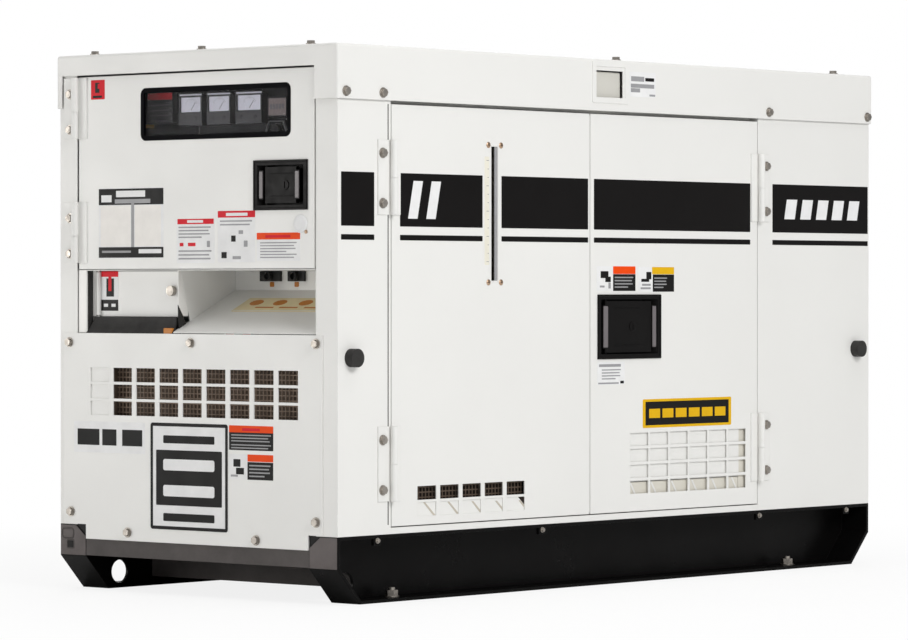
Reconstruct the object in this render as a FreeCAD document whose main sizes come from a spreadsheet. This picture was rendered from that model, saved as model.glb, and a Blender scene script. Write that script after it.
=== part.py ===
"""Sound-attenuated diesel generator set on a skid base, as an assembly of separate named pieces.

Frame: X runs along the length (the control end is at -X, the radiator end at +X), Y across the
width, Z up. The origin is at the centre of the bounding box, on the ground. Millimetres.
"""
import FreeCAD
import Part
import Sketcher

import math
import os
import re

Vector = FreeCAD.Vector
doc = FreeCAD.newDocument("generator_set")

# ---------------------------------------------------------------------------------------------
# Driving sizes. Pairs ending in _low and _high are coordinates; the others are lengths.
# ---------------------------------------------------------------------------------------------
SIZES = {
    # whole machine
    "base_length": 1560, "base_width": 680, "base_top": 118, "roof_top": 965, "roof_skirt": 870,
    "roof_lap": 5, "sheet": 2, "panel_top": 930,
    # skid base
    "plate": 6, "bevel_start": 61, "bevel_run": 57, "web_inner": 274, "tie_hole_x": 695,
    "tie_hole_z": 30, "tie_hole_radius": 21, "anchor_x": 480, "anchor_y": 310, "anchor_radius": 9,
    "base_bolt_z": 108, "tab_half": 9, "tab_deep": 18, "stud_radius": 6, "nut_across": 11, "nut_thick": 10,
    "end_beam_low": 63, "end_beam_high": 93, "end_beam_depth": 50,
    "cross_low": 17, "cross_high": 77, "cross_wide": 60, "bearer_high": 107, "bearer_y": 150,
    "bearer_reach": 620, "tray_reach": 735, "tray_rim": 117,
    # side walls and side doors
    "front_post": 643, "rear_post": 415, "post_return": 20, "end_leg": 50, "door_low": 131,
    "door_high": 864, "door_deep": 25, "front_door_low": -641, "front_door_high": -98,
    "rear_door_low": -94, "rear_door_high": 413, "sill_high": 129, "frame_high": 866,
    "gauge_slot_low": -374, "gauge_slot_high": -356, "gauge_slot_foot": 558, "gauge_slot_head": 797,
    # side air inlets: first hole, hole size and pitch
    "inlet_x": 23, "inlet_z": 163.5, "inlet_wide": 54, "inlet_tall": 24, "inlet_pitch_x": 60,
    "inlet_pitch_z": 29.5,
    "grille_x": -573, "grille_z": 146, "grille_wide": 50, "grille_tall": 24, "grille_pitch_x": 60.4,
    "grille_pitch_z": 28.5,
    # lift-off hinges
    "leaf": 2.5, "post_leaf": 34, "door_leaf": 24, "pivot_out": 9, "knuckle": 6.5, "pin": 3.5,
    "pin_bore": 3.55, "side_screw_out": 23, "side_screw_low": 20, "side_screw_high": 107,
    "end_screw_out": 17, "end_screw_low": 17, "end_screw_high": 81,
    "side_hinge_tall": 130, "side_hinge_split": 64, "hinge_play": 0.3, "end_hinge_tall": 110,
    "end_hinge_split": 48, "side_hinge_upper": 672, "side_hinge_lower": 175,
    "front_pivot_x": -644, "rear_pivot_x": 416, "end_pivot_y": 295,
    "end_hinge_upper": 814, "end_hinge_lower": 590,
    # flush latches: width and height over the rim, dish depth
    "side_latch_x": 19.5, "side_latch_z": 473.5, "side_latch_wide": 187, "side_latch_tall": 119,
    "end_latch_y": -207, "end_latch_z": 723.5, "end_latch_wide": 128, "end_latch_tall": 87,
    "latch_rim": 9, "latch_proud": 2, "latch_deep": 24, "latch_floor": 3, "latch_slope": 16,
    "paddle_thick": 7, "paddle_pin": 2, "paddle_pin_bore": 2.05, "paddle_gap": 3,
    # control end
    "opening_left": 297, "opening_right": -290, "bay_low": 466, "bay_high": 576,
    "control_door_left": 292, "control_door_right": -286, "control_door_low": 579,
    "control_door_high": 925, "control_door_deep": 20, "notch_high": 928, "notch_left": 331,
    "block_notch": 20,
    "window_left": 131, "window_right": -227, "window_low": 811, "window_high": 897,
    "window_glass": 4,
    "vent_panel_left": 331, "vent_panel_right": -306, "vent_panel_low": 93, "vent_panel_high": 464,
    "outlet_y": -249.5, "outlet_z": 317, "outlet_wide": 47, "outlet_tall": 25,
    "outlet_pitch_y": 57.9, "outlet_pitch_z": 30,
    # control box and instrument panel
    "outlet_foot": 557, "outlet_head": 575, "outlet_well": 8, "outlet_mouth": 6,
    "panel_front": 735, "box_back": 600, "box_low": 590, "box_high": 915, "box_half": 280,
    "meter_low": 833, "meter_high": 886,
    # terminal bay
    "cover_left": 256, "cover_right": 57, "cover_low": 494, "cover_high": 575, "cover_face": 760,
    "partition_y": 56, "bay_back": 620, "ramp_rise": 541, "flap_face": 762, "flap_left": 254,
    # roof
    "roof_round": 5, "lift_pocket_x": 90, "lift_pocket_y": 70, "beam_low_x": -83,
    "beam_high_x": -5, "beam_low": 878, "beam_high": 942, "leg_y": 300, "leg_thick": 24,
    "eye_radius": 20, "eye_z": 935, "lug_thick": 16, "lug_half": 38, "lug_top": 960,
    "side_window_low": 888, "side_window_high": 944,
    # engine and generator on one shaft line
    "shaft_z": 320, "shaft_radius": 28, "shaft_bore": 28.06, "stator_radius": 160,
    "stator_bore": 116, "rotor_radius": 113, "stator_start": -560, "stator_end": -130,
    "housing_radius": 186, "housing_end": -72, "flywheel_radius": 150,
    "block_end": 350, "block_half": 120, "block_low": 200, "block_high": 470,
    "pan_low": 125, "head_high": 558, "rocker_high": 628, "fan_z": 470, "pulley_radius": 55,
    "pulley_start": 366, "pulley_end": 390, "belt_gap": 0.6, "fan_radius": 190,
    "fan_start": 415, "fan_end": 450, "fan_shaft": 10, "hub_radius": 48,
    "blade_chord": 42, "blade_thick": 3, "fan_bore": 10.05,
    "mount_x": 480, "mount_front_x": 300, "mount_radius": 26, "mount_high": 150,
    # cooling, exhaust, air and fuel
    "radiator_start": 500, "radiator_end": 560, "radiator_half": 240, "radiator_low": 180,
    "radiator_high": 760, "shroud_start": 460, "muffler_x": 672, "muffler_z": 705,
    "muffler_radius": 72, "muffler_half": 190, "muffler_leg_y": 110,
    "exhaust_radius": 22, "exhaust_run_z": 800,
    "cleaner_start": -20, "intake_y": -138, "manifold_z": 515,
    "cleaner_radius": 78, "cleaner_long": 240, "cleaner_z": 745, "cleaner_y": -70,
    "tank_low_x": -560, "tank_high_x": -120, "tank_low_y": -285, "tank_high_y": 200,
    "tank_low": 545, "tank_high": 800, "filler_x": -190, "filler_y": -230, "filler_radius": 25,
    "battery_x": -310, "battery_half": 110, "battery_outer": 268, "battery_inner": 170,
    "battery_tall": 190, "battery_post_x": 85,
    # fasteners: flange bolt head and shank
    "bolt_across": 7, "bolt_head": 5, "bolt_flange": 9, "bolt_flange_thick": 1.6, "bolt_shank": 4,
    "bolt_length": 14, "bolt_hole": 4.6, "tab_bolt_across": 3.8, "tab_bolt_head": 3,
    "tab_bolt_flange": 5, "tab_bolt_flange_thick": 1.2, "tab_bolt_shank": 2.5,
    "tab_bolt_length": 9, "tab_bolt_hole": 2.9, "bumper_radius": 16, "bumper_out": 17,
}

sheet = doc.addObject("Spreadsheet::Sheet", "sizes")
for row, (alias, number) in enumerate(SIZES.items(), start=1):
    sheet.set(f"A{row}", alias)
    sheet.set(f"B{row}", str(number))
    sheet.setAlias(f"B{row}", alias)
doc.recompute()

END = "base_length / 2"
SIDE = "base_width / 2"


def size(alias):
    """One size read back from the sheet, for the groups that are placed by loops."""
    return float(sheet.get(alias))


def formula(text):
    """An expression in which every size's name points at its cell."""
    return re.sub(r"[a-z][a-z_]*[a-z]", lambda word: "sizes." + word.group(), str(text))


def bind(item, field, text):
    item.setExpression(field, formula(text))


# ---------------------------------------------------------------------------------------------
# Plain solids
# ---------------------------------------------------------------------------------------------
def box(name, across, along, up):
    """A block between pairs of coordinates in X, Y and Z."""
    solid = doc.addObject("Part::Box", name)
    for field, place, (low, high) in zip(("Length", "Width", "Height"), "xyz", (across, along, up)):
        bind(solid, field, f"({high}) - ({low})")
        bind(solid, "Placement.Base." + place, low)
    return solid


TURNS = {
    "x": FreeCAD.Rotation(Vector(0, 1, 0), 90),
    "y": FreeCAD.Rotation(Vector(1, 0, 0), -90),
    "z": FreeCAD.Rotation(),
}


def rod(name, axis, start, radius, length):
    """A cylinder from a start point along +X, +Y or +Z."""
    solid = doc.addObject("Part::Cylinder", name)
    solid.Placement = FreeCAD.Placement(Vector(), TURNS[axis])
    bind(solid, "Radius", radius)
    bind(solid, "Height", length)
    for place, text in zip("xyz", start):
        bind(solid, "Placement.Base." + place, text)
    return solid


def fuse(name, pieces):
    joined = doc.addObject("Part::MultiFuse", name)
    joined.Shapes = pieces
    joined.Label = name
    return joined


def cut(name, base, tools):
    """The base without its tools."""
    tool = tools[0] if len(tools) == 1 else fuse(name + "_tools", tools)
    result = doc.addObject("Part::Cut", name)
    result.Base = base
    result.Tool = tool
    result.Label = name
    return result


def group(name, pieces):
    """Several separate solids that share one node."""
    members = doc.addObject("Part::Compound", name)
    members.Links = pieces
    members.Label = name
    return members


def mirror(name, source):
    """The same piece on the other long side."""
    twin = doc.addObject("Part::Mirroring", name)
    twin.Source = source
    twin.Base = Vector(0, 0, 0)
    twin.Normal = Vector(0, 1, 0)
    twin.Label = name
    return twin


def rounded(name, base, radius):
    """A block with all its edges rounded."""
    doc.recompute()
    result = doc.addObject("Part::Fillet", name)
    result.Base = base
    result.Edges = [(edge + 1, size(radius), size(radius)) for edge in range(len(base.Shape.Edges))]
    result.Label = name
    return result


# ---------------------------------------------------------------------------------------------
# Sheet-metal and turned bodies
# ---------------------------------------------------------------------------------------------
def new_body(name):
    body = doc.addObject("PartDesign::Body", name)
    body.Label = name
    return body


def new_sketch(body, plane, offset="0"):
    """A sketch on one of the body's own origin planes, moved along the plane's normal."""
    sketch = body.newObject("Sketcher::SketchObject", body.Name + "_sketch")
    support = next(item for item in body.Origin.OriginFeatures if item.Role == plane + "_Plane")
    sketch.AttachmentSupport = [(support, "")]
    sketch.MapMode = "FlatFace"
    bind(sketch, "AttachmentOffset.Base.z", offset)
    return sketch


def fix_point(sketch, item, corner, start, place):
    """Ties one point of a sketch to a place given as a pair of expressions."""
    for kind, value, text in (("DistanceX", start.x, place[0]), ("DistanceY", start.y, place[1])):
        tie = sketch.addConstraint(Sketcher.Constraint(kind, -1, 1, item, corner, value))
        bind(sketch, f"Constraints[{tie}]", text)


def draw_polygon(sketch, places):
    """A closed outline; it is drawn as a regular polygon, and its ties move it into shape."""
    first = sketch.GeometryCount
    count = len(places)
    turn = 2 * math.pi / count
    corners = [Vector(90 * math.cos(turn * n) + 200, 90 * math.sin(turn * n) + 200)
               for n in range(count)]
    for n in range(count):
        sketch.addGeometry(Part.LineSegment(corners[n], corners[(n + 1) % count]), False)
    for n in range(count):
        following = first + (n + 1) % count
        sketch.addConstraint(Sketcher.Constraint("Coincident", first + n, 2, following, 1))
    for n, place in enumerate(places):
        fix_point(sketch, first + n, 1, corners[n], place)


def rectangle(across, up):
    """Corner places of a rectangle between two pairs of coordinates."""
    return [(across[0], up[0]), (across[1], up[0]), (across[1], up[1]), (across[0], up[1])]


def draw_circle(sketch, centre, radius):
    item = sketch.addGeometry(Part.Circle(Vector(200, 200), Vector(0, 0, 1), 10), False)
    fix_point(sketch, item, 3, Vector(200, 200), centre)
    tie = sketch.addConstraint(Sketcher.Constraint("Radius", item, 10))
    bind(sketch, f"Constraints[{tie}]", radius)


def prism(body, kind, plane, low, high, outlines=(), circles=()):
    """A Pad or Pocket between two coordinates on the axis square to the plane.

    The XZ plane faces -Y, so there the sketch lies at the higher coordinate.
    """
    offset = f"-({high})" if plane == "XZ" else low
    sketch = new_sketch(body, plane, offset)
    for places in outlines:
        draw_polygon(sketch, places)
    for centre, radius in circles:
        draw_circle(sketch, centre, radius)
    feature = body.newObject("PartDesign::" + kind, body.Name + "_" + kind)
    feature.Profile = sketch
    bind(feature, "Length", f"({high}) - ({low})")
    feature.Reversed = kind == "Pocket"
    body.Tip = feature
    return feature


def repeat(body, feature, across_pitch, across_count, up_pitch, up_count):
    """A grid of copies of a feature along its sketch's two axes."""
    grid = body.newObject("PartDesign::LinearPattern", body.Name + "_grid")
    grid.Originals = [feature]
    grid.Direction = (feature.Profile[0], ["H_Axis"])
    bind(grid, "Length", f"{across_pitch} * {across_count - 1}")
    grid.Occurrences = across_count
    grid.Direction2 = (feature.Profile[0], ["V_Axis"])
    bind(grid, "Length2", f"{up_pitch} * {up_count - 1}")
    grid.Occurrences2 = up_count
    body.Tip = grid
    return grid


def turned(name, outline, centre_height, start="0"):
    """A body of revolution about a shaft line that runs along X."""
    body = new_body(name)
    sketch = new_sketch(body, "XZ")
    draw_polygon(sketch, outline)
    turn = body.newObject("PartDesign::Revolution", name + "_turn")
    turn.Profile = sketch
    turn.ReferenceAxis = (sketch, ["H_Axis"])
    turn.Angle = 360
    body.Tip = turn
    bind(body, "Placement.Base.x", start)
    bind(body, "Placement.Base.z", centre_height)
    return body


# ---------------------------------------------------------------------------------------------
# Skid base
# ---------------------------------------------------------------------------------------------
BASE_BOLTS = (-678, -232, 420, 704)
BASE_NUTS = (-607, 550)


def skid_rail():
    """An outward-facing channel with bevelled end plates."""
    body = new_body("skid_rail_right")
    prism(body, "Pad", "XZ", f"-{SIDE}", "-web_inner", [[
        (f"-{END}", "base_top"), (f"-{END}", "bevel_start"), (f"-{END} + bevel_run", "0"),
        (f"{END} - bevel_run", "0"), (END, "bevel_start"), (END, "base_top")]])
    prism(body, "Pocket", "XZ", f"-{SIDE}", "-web_inner - plate", [[
        (f"-{END} + plate", "base_top - plate"), (f"-{END} + plate", "bevel_start + plate / 2"),
        (f"-{END} + bevel_run + plate / 2", "plate"), (f"{END} - bevel_run - plate / 2", "plate"),
        (f"{END} - plate", "bevel_start + plate / 2"), (f"{END} - plate", "base_top - plate")]])
    prism(body, "Pocket", "XZ", "-web_inner - plate", "-web_inner", circles=[
        (("-tie_hole_x", "tie_hole_z"), "tie_hole_radius")])
    prism(body, "Pad", "XZ", f"-{SIDE}", f"-{SIDE} + plate", [
        rectangle((f"{x} - tab_half", f"{x} + tab_half"), ("base_top - tab_deep", "base_top - plate"))
        for x in BASE_BOLTS])
    prism(body, "Pocket", "XZ", f"-{SIDE}", f"-{SIDE} + plate", circles=[
        ((str(x), "base_bolt_z"), "tab_bolt_hole") for x in BASE_BOLTS])
    for near, far in ((f"-{END}", f"-{END} + plate"), (f"{END} - plate", END)):
        prism(body, "Pocket", "YZ", near, far, [[
            ("-web_inner", "base_top"), ("-web_inner - block_notch - 5", "base_top"),
            ("-web_inner", "base_top - block_notch")]])
    anchors = [((f"{sign}anchor_x", "-anchor_y"), "anchor_radius") for sign in ("-", "")]
    studs = [((str(x), "-anchor_y"), "stud_radius + 0.1") for x in BASE_NUTS]
    prism(body, "Pocket", "XY", "0", "plate", circles=anchors + studs)
    return body


def cross_members():
    """End beams, cross tubes and the two bearers that carry the engine and the generator."""
    inner = ("-web_inner", "web_inner")
    bars = []
    for sign, name in (("-", "front"), ("", "rear")):
        near, far = f"{sign}{END}", f"{sign}({END} - plate)"
        shelf = f"{sign}({END} - end_beam_depth)"
        face = (near, far) if sign else (far, near)
        top = (far, shelf) if sign else (shelf, far)
        bars.append(box(name + "_beam_face", face, inner, ("end_beam_low", "end_beam_high")))
        bars.append(box(name + "_beam_top", top, inner, ("end_beam_high - plate", "end_beam_high")))
    for place in ("-612", "-300", "120", "552"):
        bars.append(box("cross_tube", (place, f"{place} + cross_wide"), inner,
                        ("cross_low", "cross_high")))
    for sign in ("-", ""):
        middle = f"{sign}bearer_y"
        bars.append(box("bearer", ("-bearer_reach", "bearer_reach"),
                        (f"{middle} - 25", f"{middle} + 25"), ("cross_high", "bearer_high")))
    return group("cross_members", bars)


def drip_tray():
    body = new_body("drip_tray")
    across, along = ("-tray_reach", "tray_reach"), ("-web_inner + 1", "web_inner - 1")
    inner = ("-tray_reach + sheet", "tray_reach - sheet")
    inner_along = ("-web_inner + 1 + sheet", "web_inner - 1 - sheet")
    prism(body, "Pad", "XY", "bearer_high", "tray_rim", [rectangle(across, along)])
    prism(body, "Pocket", "XY", "bearer_high + sheet", "tray_rim", [rectangle(inner, inner_along)])
    return body


# ---------------------------------------------------------------------------------------------
# Enclosure
# ---------------------------------------------------------------------------------------------
def hinge_bolts(kind, pivot, side):
    """Where the hinges of one pin line are bolted: across the wall, and up."""
    across = size(pivot) + side * size(f"{kind}_screw_out")
    return [(across, size(f"{kind}_hinge_{level}") + size(f"{kind}_screw_{end}"))
            for level in ("lower", "upper") for end in ("low", "high")]


ROOF_BOLTS = ((-764, 883), (-669, 883), (444, 883), (768, 883))
ROOF_TOP_BOLTS = ((-770, -269), (-770, -7), (-770, 261), (770, -262), (770, 0), (770, 262),
                  (-7, -330), (674, -330), (-7, 330), (674, 330))
VENT_PANEL_BOLTS = ((315, 447), (9, 448), (-292, 449), (311, 141), (166, 108), (-150, 106),
                    (-292, 142))
REAR_PANEL_BOLTS = ((318, 840), (0, 855), (-318, 840), (318, 480), (-318, 480), (318, 140),
                    (0, 106), (-318, 140))


def bolt_circles(places):
    return [((str(across), str(up)), "bolt_hole") for across, up in places]


def roof_cover():
    """A lid whose skirt laps over the walls, notched for the control door, open at the lift eye."""
    body = new_body("roof_shell")
    ends = (f"-{END} - roof_lap", f"{END} + roof_lap")
    sides = (f"-{SIDE} - roof_lap", f"{SIDE} + roof_lap")
    lid = prism(body, "Pad", "XY", "roof_skirt", "roof_top", [rectangle(ends, sides)])
    doc.recompute()
    round_over = body.newObject("PartDesign::Fillet", "roof_edges")
    high = [f"Edge{n}" for n, edge in enumerate(lid.Shape.Edges, start=1)
            if edge.BoundBox.ZMin > size("roof_skirt") + 1 or edge.BoundBox.ZLength > 1]
    round_over.Base = (lid, high)
    round_over.Radius = size("roof_round")
    bind(round_over, "Radius", "roof_round")
    body.Tip = round_over
    inner_ends = (f"-{END} - roof_lap + sheet", f"{END} + roof_lap - sheet")
    inner_sides = (f"-{SIDE} - roof_lap + sheet", f"{SIDE} + roof_lap - sheet")
    prism(body, "Pocket", "XY", "roof_skirt", "roof_top - sheet",
          [rectangle(inner_ends, inner_sides)])
    skirt = (f"-{END} - roof_lap", f"-{END} - roof_lap + sheet")
    prism(body, "Pocket", "YZ", *skirt,
          [rectangle(("opening_right", "notch_left"), ("roof_skirt", "notch_high"))])
    across, window = ("beam_low_x", "beam_high_x"), ("side_window_low", "side_window_high")
    prism(body, "Pocket", "XZ", *sides, [rectangle(across, window)],
          [((str(x), str(z)), "bolt_hole") for x, z in ROOF_BOLTS])
    middle = "(beam_low_x + beam_high_x) / 2"
    pocket = (f"{middle} - lift_pocket_x", f"{middle} + lift_pocket_x")
    prism(body, "Pocket", "XY", "roof_top - sheet", "roof_top",
          [rectangle(pocket, ("-lift_pocket_y", "lift_pocket_y"))], bolt_circles(ROOF_TOP_BOLTS))
    grow = [f"{edge} {sign} sheet" for edge, sign in zip(pocket, "-+")]
    dish = box("lift_dish_outer", grow, ("-lift_pocket_y - sheet", "lift_pocket_y + sheet"),
               ("beam_high + 1", "roof_top - sheet"))
    room = box("lift_dish_room", pocket, ("-lift_pocket_y", "lift_pocket_y"),
               ("beam_high + 3", "roof_top"))
    slot = box("lift_dish_slot", ("beam_low_x - 1", "beam_high_x + 1"), ("-60", "60"),
               ("beam_high", "beam_high + 4"))
    return fuse("roof_cover", [body, cut("lift_dish", dish, [room, slot])])


def side_post(name, mirrored_end, wall_reach, bolts):
    """A corner panel: a side leg with a return at the door, and a leg round the end."""
    body = new_body(name)
    side, end = SIDE, END
    outline = [(f"-{end}", f"-{side}"), (f"-{wall_reach}", f"-{side}"),
               (f"-{wall_reach}", f"-{side} + post_return"),
               (f"-{wall_reach} - sheet", f"-{side} + post_return"),
               (f"-{wall_reach} - sheet", f"-{side} + sheet"),
               (f"-{end} + sheet", f"-{side} + sheet"),
               (f"-{end} + sheet", f"-{side} + end_leg"), (f"-{end}", f"-{side} + end_leg")]
    if mirrored_end:
        outline = [(f"-({x})", y) for x, y in outline]
    prism(body, "Pad", "XY", "base_top", "panel_top", [outline])
    prism(body, "Pocket", "XZ", f"-{side}", f"-{side} + sheet", circles=bolt_circles(bolts))
    return body


def front_posts():
    bolts = [(x, z) for x, z in ROOF_BOLTS if x < 0] + hinge_bolts("side", "front_pivot_x", -1)
    right = side_post("front_corner_right", False, "front_post", bolts)
    holes = [(y, z) for y, z in VENT_PANEL_BOLTS if y < -290]
    prism(right, "Pocket", "YZ", f"-{END}", f"-{END} + sheet", circles=bolt_circles(holes))
    left = new_body("front_corner_left")
    outline = [(f"-{END}", SIDE), ("front_door_high", SIDE), ("front_door_high", f"{SIDE} - post_return"),
               ("front_door_high - sheet", f"{SIDE} - post_return"),
               ("front_door_high - sheet", f"{SIDE} - sheet"), (f"-{END} + sheet", f"{SIDE} - sheet"),
               (f"-{END} + sheet", "opening_left"), (f"-{END}", "opening_left")]
    prism(left, "Pad", "XY", "base_top", "panel_top", [outline])
    vent_bolts = [(y, z) for y, z in VENT_PANEL_BOLTS if y > 297 and z > 118]
    prism(left, "Pocket", "YZ", f"-{END}", f"-{END} + sheet",
          circles=bolt_circles(hinge_bolts("end", "end_pivot_y", 1) + vent_bolts))
    prism(left, "Pocket", "XZ", f"{SIDE} - sheet", SIDE, circles=bolt_circles(
        [(-764, 883), (-669, 883)] + [(x, z) for x in (-700, -420, -140) for z in (160, 520)]))
    grille = prism(left, "Pocket", "XZ", f"{SIDE} - sheet", SIDE, [rectangle(
        ("grille_x", "grille_x + grille_wide"), ("grille_z", "grille_z + grille_tall"))])
    repeat(left, grille, "grille_pitch_x", 5, "grille_pitch_z", 2)
    return [right, left]


def rear_posts():
    bolts = [(x, z) for x, z in ROOF_BOLTS if x > 0] + hinge_bolts("side", "rear_pivot_x", 1)
    right = side_post("rear_corner_right", True, "rear_post", bolts)
    holes = [(y, z) for y, z in REAR_PANEL_BOLTS if y < -290 and z > 118]
    prism(right, "Pocket", "YZ", f"{END} - sheet", END, circles=bolt_circles(holes))
    return [right, mirror("rear_corner_left", right)]


def inner_frame():
    """Sills under the doors and rails over them, behind the outer skin."""
    bars = []
    for sign in ("-", ""):
        edge = (f"-{SIDE}", f"-{SIDE} + 30") if sign else (f"{SIDE} - 30", SIDE)
        start = "-front_post" if sign else "front_door_high"
        reach = (start, "rear_post")
        lip = ((f"-{SIDE} + 18", f"-{SIDE} + 20") if sign else (f"{SIDE} - 20", f"{SIDE} - 18"))
        bars.append(box("sill", reach, edge, ("base_top", "sill_high")))
        bars.append(box("door_header", reach, lip, ("frame_high", "beam_low - 2")))
    across = ("opening_right", "opening_left")
    front = (f"-{END} + sheet", f"-{END} + 20")
    bars.append(box("bay_header", front, across, ("bay_high + 1", "bay_high + 2")))
    rail = (f"-{END}", f"-{END} + 4")
    bars.append(box("vent_rail_top", rail, across, ("vent_panel_high - 28", "vent_panel_high - 2")))
    bars.append(box("vent_rail_foot", rail, ("-web_inner + 1", "web_inner - 1"),
                    ("end_beam_high + 1", "base_top - 1")))
    bars.append(box("rear_header", (f"{END} - 20", f"{END} - sheet"),
                    (f"-{SIDE} + end_leg", f"{SIDE} - end_leg"), ("frame_high", "panel_top")))
    return group("inner_frame", bars)


def front_vent_panel():
    body = new_body("front_vent_panel")
    face = (f"-{END} - sheet", f"-{END}")
    notch_high = "base_top + 1"
    prism(body, "Pad", "YZ", *face, [[
        ("vent_panel_right", "vent_panel_high"), ("vent_panel_right", notch_high),
        ("-web_inner + 1", notch_high), ("-web_inner + 1", "vent_panel_low"),
        ("web_inner - 1", "vent_panel_low"), ("web_inner - 1", notch_high),
        ("vent_panel_left", notch_high), ("vent_panel_left", "vent_panel_high")]])
    hole = prism(body, "Pocket", "YZ", *face, [rectangle(
        ("outlet_y", "outlet_y + outlet_wide"), ("outlet_z", "outlet_z + outlet_tall"))])
    repeat(body, hole, "outlet_pitch_y", 9, "outlet_pitch_z", 3)
    prism(body, "Pocket", "YZ", *face, circles=bolt_circles(VENT_PANEL_BOLTS))
    return body


def rear_panel():
    """The discharge end: a bolted plate with a louvred opening and the exhaust outlet."""
    body = new_body("rear_plate")
    face = (END, f"{END} + sheet")
    wide, low = f"{SIDE} - 9", "base_top + 1"
    prism(body, "Pad", "YZ", *face, [[
        (f"-({wide})", "door_high"), (f"-({wide})", low), ("-web_inner + 1", low),
        ("-web_inner + 1", "vent_panel_low"), ("web_inner - 1", "vent_panel_low"),
        ("web_inner - 1", low), (wide, low), (wide, "door_high")]])
    prism(body, "Pocket", "YZ", *face, [rectangle(("-240", "240"), ("180", "620"))],
          [(("0", "muffler_z"), "exhaust_radius + 12")] + bolt_circles(REAR_PANEL_BOLTS))
    pieces = [body]
    for n in range(10):
        blade = box("louvre", (f"{END} + sheet", f"{END} + 19"), ("-244", "244"),
                    (f"{190 + 43 * n}", f"{208 + 43 * n}"))
        channel = box("louvre_mouth", (f"{END} + sheet", f"{END} + 17"), ("-242", "242"),
                      (f"{189 + 43 * n}", f"{206 + 43 * n}"))
        pieces.append(cut("louvre_hood", blade, [channel]))
    return fuse("rear_panel", pieces)


# ---------------------------------------------------------------------------------------------
# Lift-off hinges. Each is made about the origin: the face of the wall is at y = 0 and the pin
# line at y = -pivot_out; "side" is -1 where the leaf lies on the -X side of the pin line.
# ---------------------------------------------------------------------------------------------
def hinge_half(kind, part, side, low, high):
    """One half: a leaf on the wall, a web out to the pin line and a barrel, with pin or bore."""
    name = f"{kind}_{part}"
    reach = f"{part}_leaf"
    leaf_across = (f"-{reach}", "-1") if side < 0 else ("1", reach)
    web_across = ("3 - knuckle", "0") if side < 0 else ("0", "knuckle - 3")
    leaf = box(name + "_plate", leaf_across, ("-leaf", "0"), ("0", f"{kind}_hinge_tall"))
    web = box(name + "_web", web_across, ("-pivot_out", "-leaf / 2"), (low, high))
    tall = f"({high}) - ({low})"
    barrel = rod(name + "_barrel", "z", ("0", "-pivot_out", low), "knuckle", tall)
    if part == "post":
        pin = rod(name + "_pin", "z", ("0", "-pivot_out", low), "pin", f"{kind}_hinge_tall - 8")
        holes = [rod(name + "_screw", "y", (f"{side} * {kind}_screw_out", "-leaf - 1", level),
                     "bolt_hole", "leaf + 2")
                 for level in (f"{kind}_screw_low", f"{kind}_screw_high")]
        return cut(name + "_half", fuse(name + "_solid", [leaf, web, barrel, pin]), holes)
    bore = rod(name + "_bore", "z", ("0", "-pivot_out", f"({low}) - 1"), "pin_bore",
               f"{tall} - 3")
    return cut(name + "_half", fuse(name + "_solid", [leaf, web, barrel]), [bore])


def placed(name, piece, x, y, z, turn=0):
    """A copy of a piece that was made about the origin, at its place in the machine."""
    holder = doc.addObject("Part::Compound", name)
    holder.Links = [piece]
    holder.Placement = FreeCAD.Placement(Vector(), FreeCAD.Rotation(Vector(0, 0, 1), turn))
    for place, text in zip("xyz", (x, y, z)):
        bind(holder, "Placement.Base." + place, text)
    holder.Label = name
    return holder


def hinge_pairs():
    """Post half and door half, for a post on the -X side of the pin line and on the +X side."""
    halves = {}
    for kind, sides in (("side", (-1, 1)), ("end", (-1,))):
        split = f"{kind}_hinge_split"
        for side in sides:
            post = hinge_half(kind, "post", side, "0", split)
            door = hinge_half(kind, "door", -side, f"{split} + hinge_play", f"{kind}_hinge_tall")
            halves[kind, side] = (post, door)
    return halves


def flush_latch(name, wide, tall, place, turn):
    """A dish with sloping ends and a paddle on a vertical pin at its left end."""
    body = new_body(name + "_dish")
    half, rise = f"({wide}) / 2", f"({tall}) / 2"
    inner, inner_rise = f"{half} - latch_rim", f"{rise} - latch_rim"
    prism(body, "Pad", "XZ", "-latch_proud", "0",
          [rectangle((f"-({half})", half), (f"-({rise})", rise))])
    prism(body, "Pad", "XZ", "0", "latch_deep + latch_floor", [rectangle(
        (f"-({inner}) - 2", f"{inner} + 2"), (f"-({inner_rise}) - 2", f"{inner_rise} + 2"))])
    prism(body, "Pocket", "XY", f"-({inner_rise})", inner_rise, [[
        (f"-({inner})", "-latch_proud"), (f"{inner}", "-latch_proud"),
        (f"{inner} - latch_slope", "latch_deep"), (f"-({inner}) + latch_slope", "latch_deep")]])
    pin_x = f"-({inner}) + latch_slope + paddle_gap"
    pin_y = "paddle_thick / 2"
    prism(body, "Pocket", "XY", f"-({inner_rise}) - 2", f"{inner_rise} + 2",
          circles=[((pin_x, pin_y), "paddle_pin_bore")])
    plate = box(name + "_plate", (pin_x, f"{inner} - latch_slope - paddle_gap"),
                ("0", "paddle_thick"),
                (f"-({inner_rise}) + paddle_gap", f"{inner_rise} - paddle_gap"))
    nose = rod(name + "_nose", "z", (pin_x, pin_y, f"-({inner_rise}) + paddle_gap"),
               "paddle_thick / 2", f"2 * ({inner_rise} - paddle_gap)")
    pin = rod(name + "_pin", "z", (pin_x, pin_y, f"-({inner_rise}) - 1.5"), "paddle_pin",
              f"2 * ({inner_rise} + 1.5)")
    barrel = rod(name + "_lock", "y", ("10", "-1.2", "0"), "9", "12")
    keyway = box(name + "_keyway", ("9", "11"), ("-3", "3"), ("-6", "6"))
    paddle = cut(name + "_paddle_shape", fuse(name + "_paddle_body", [plate, nose, pin, barrel]),
                 [keyway])
    return (placed("latch_dish_" + name, body, *place, turn),
            placed("latch_paddle_" + name, paddle, *place, turn))


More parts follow.
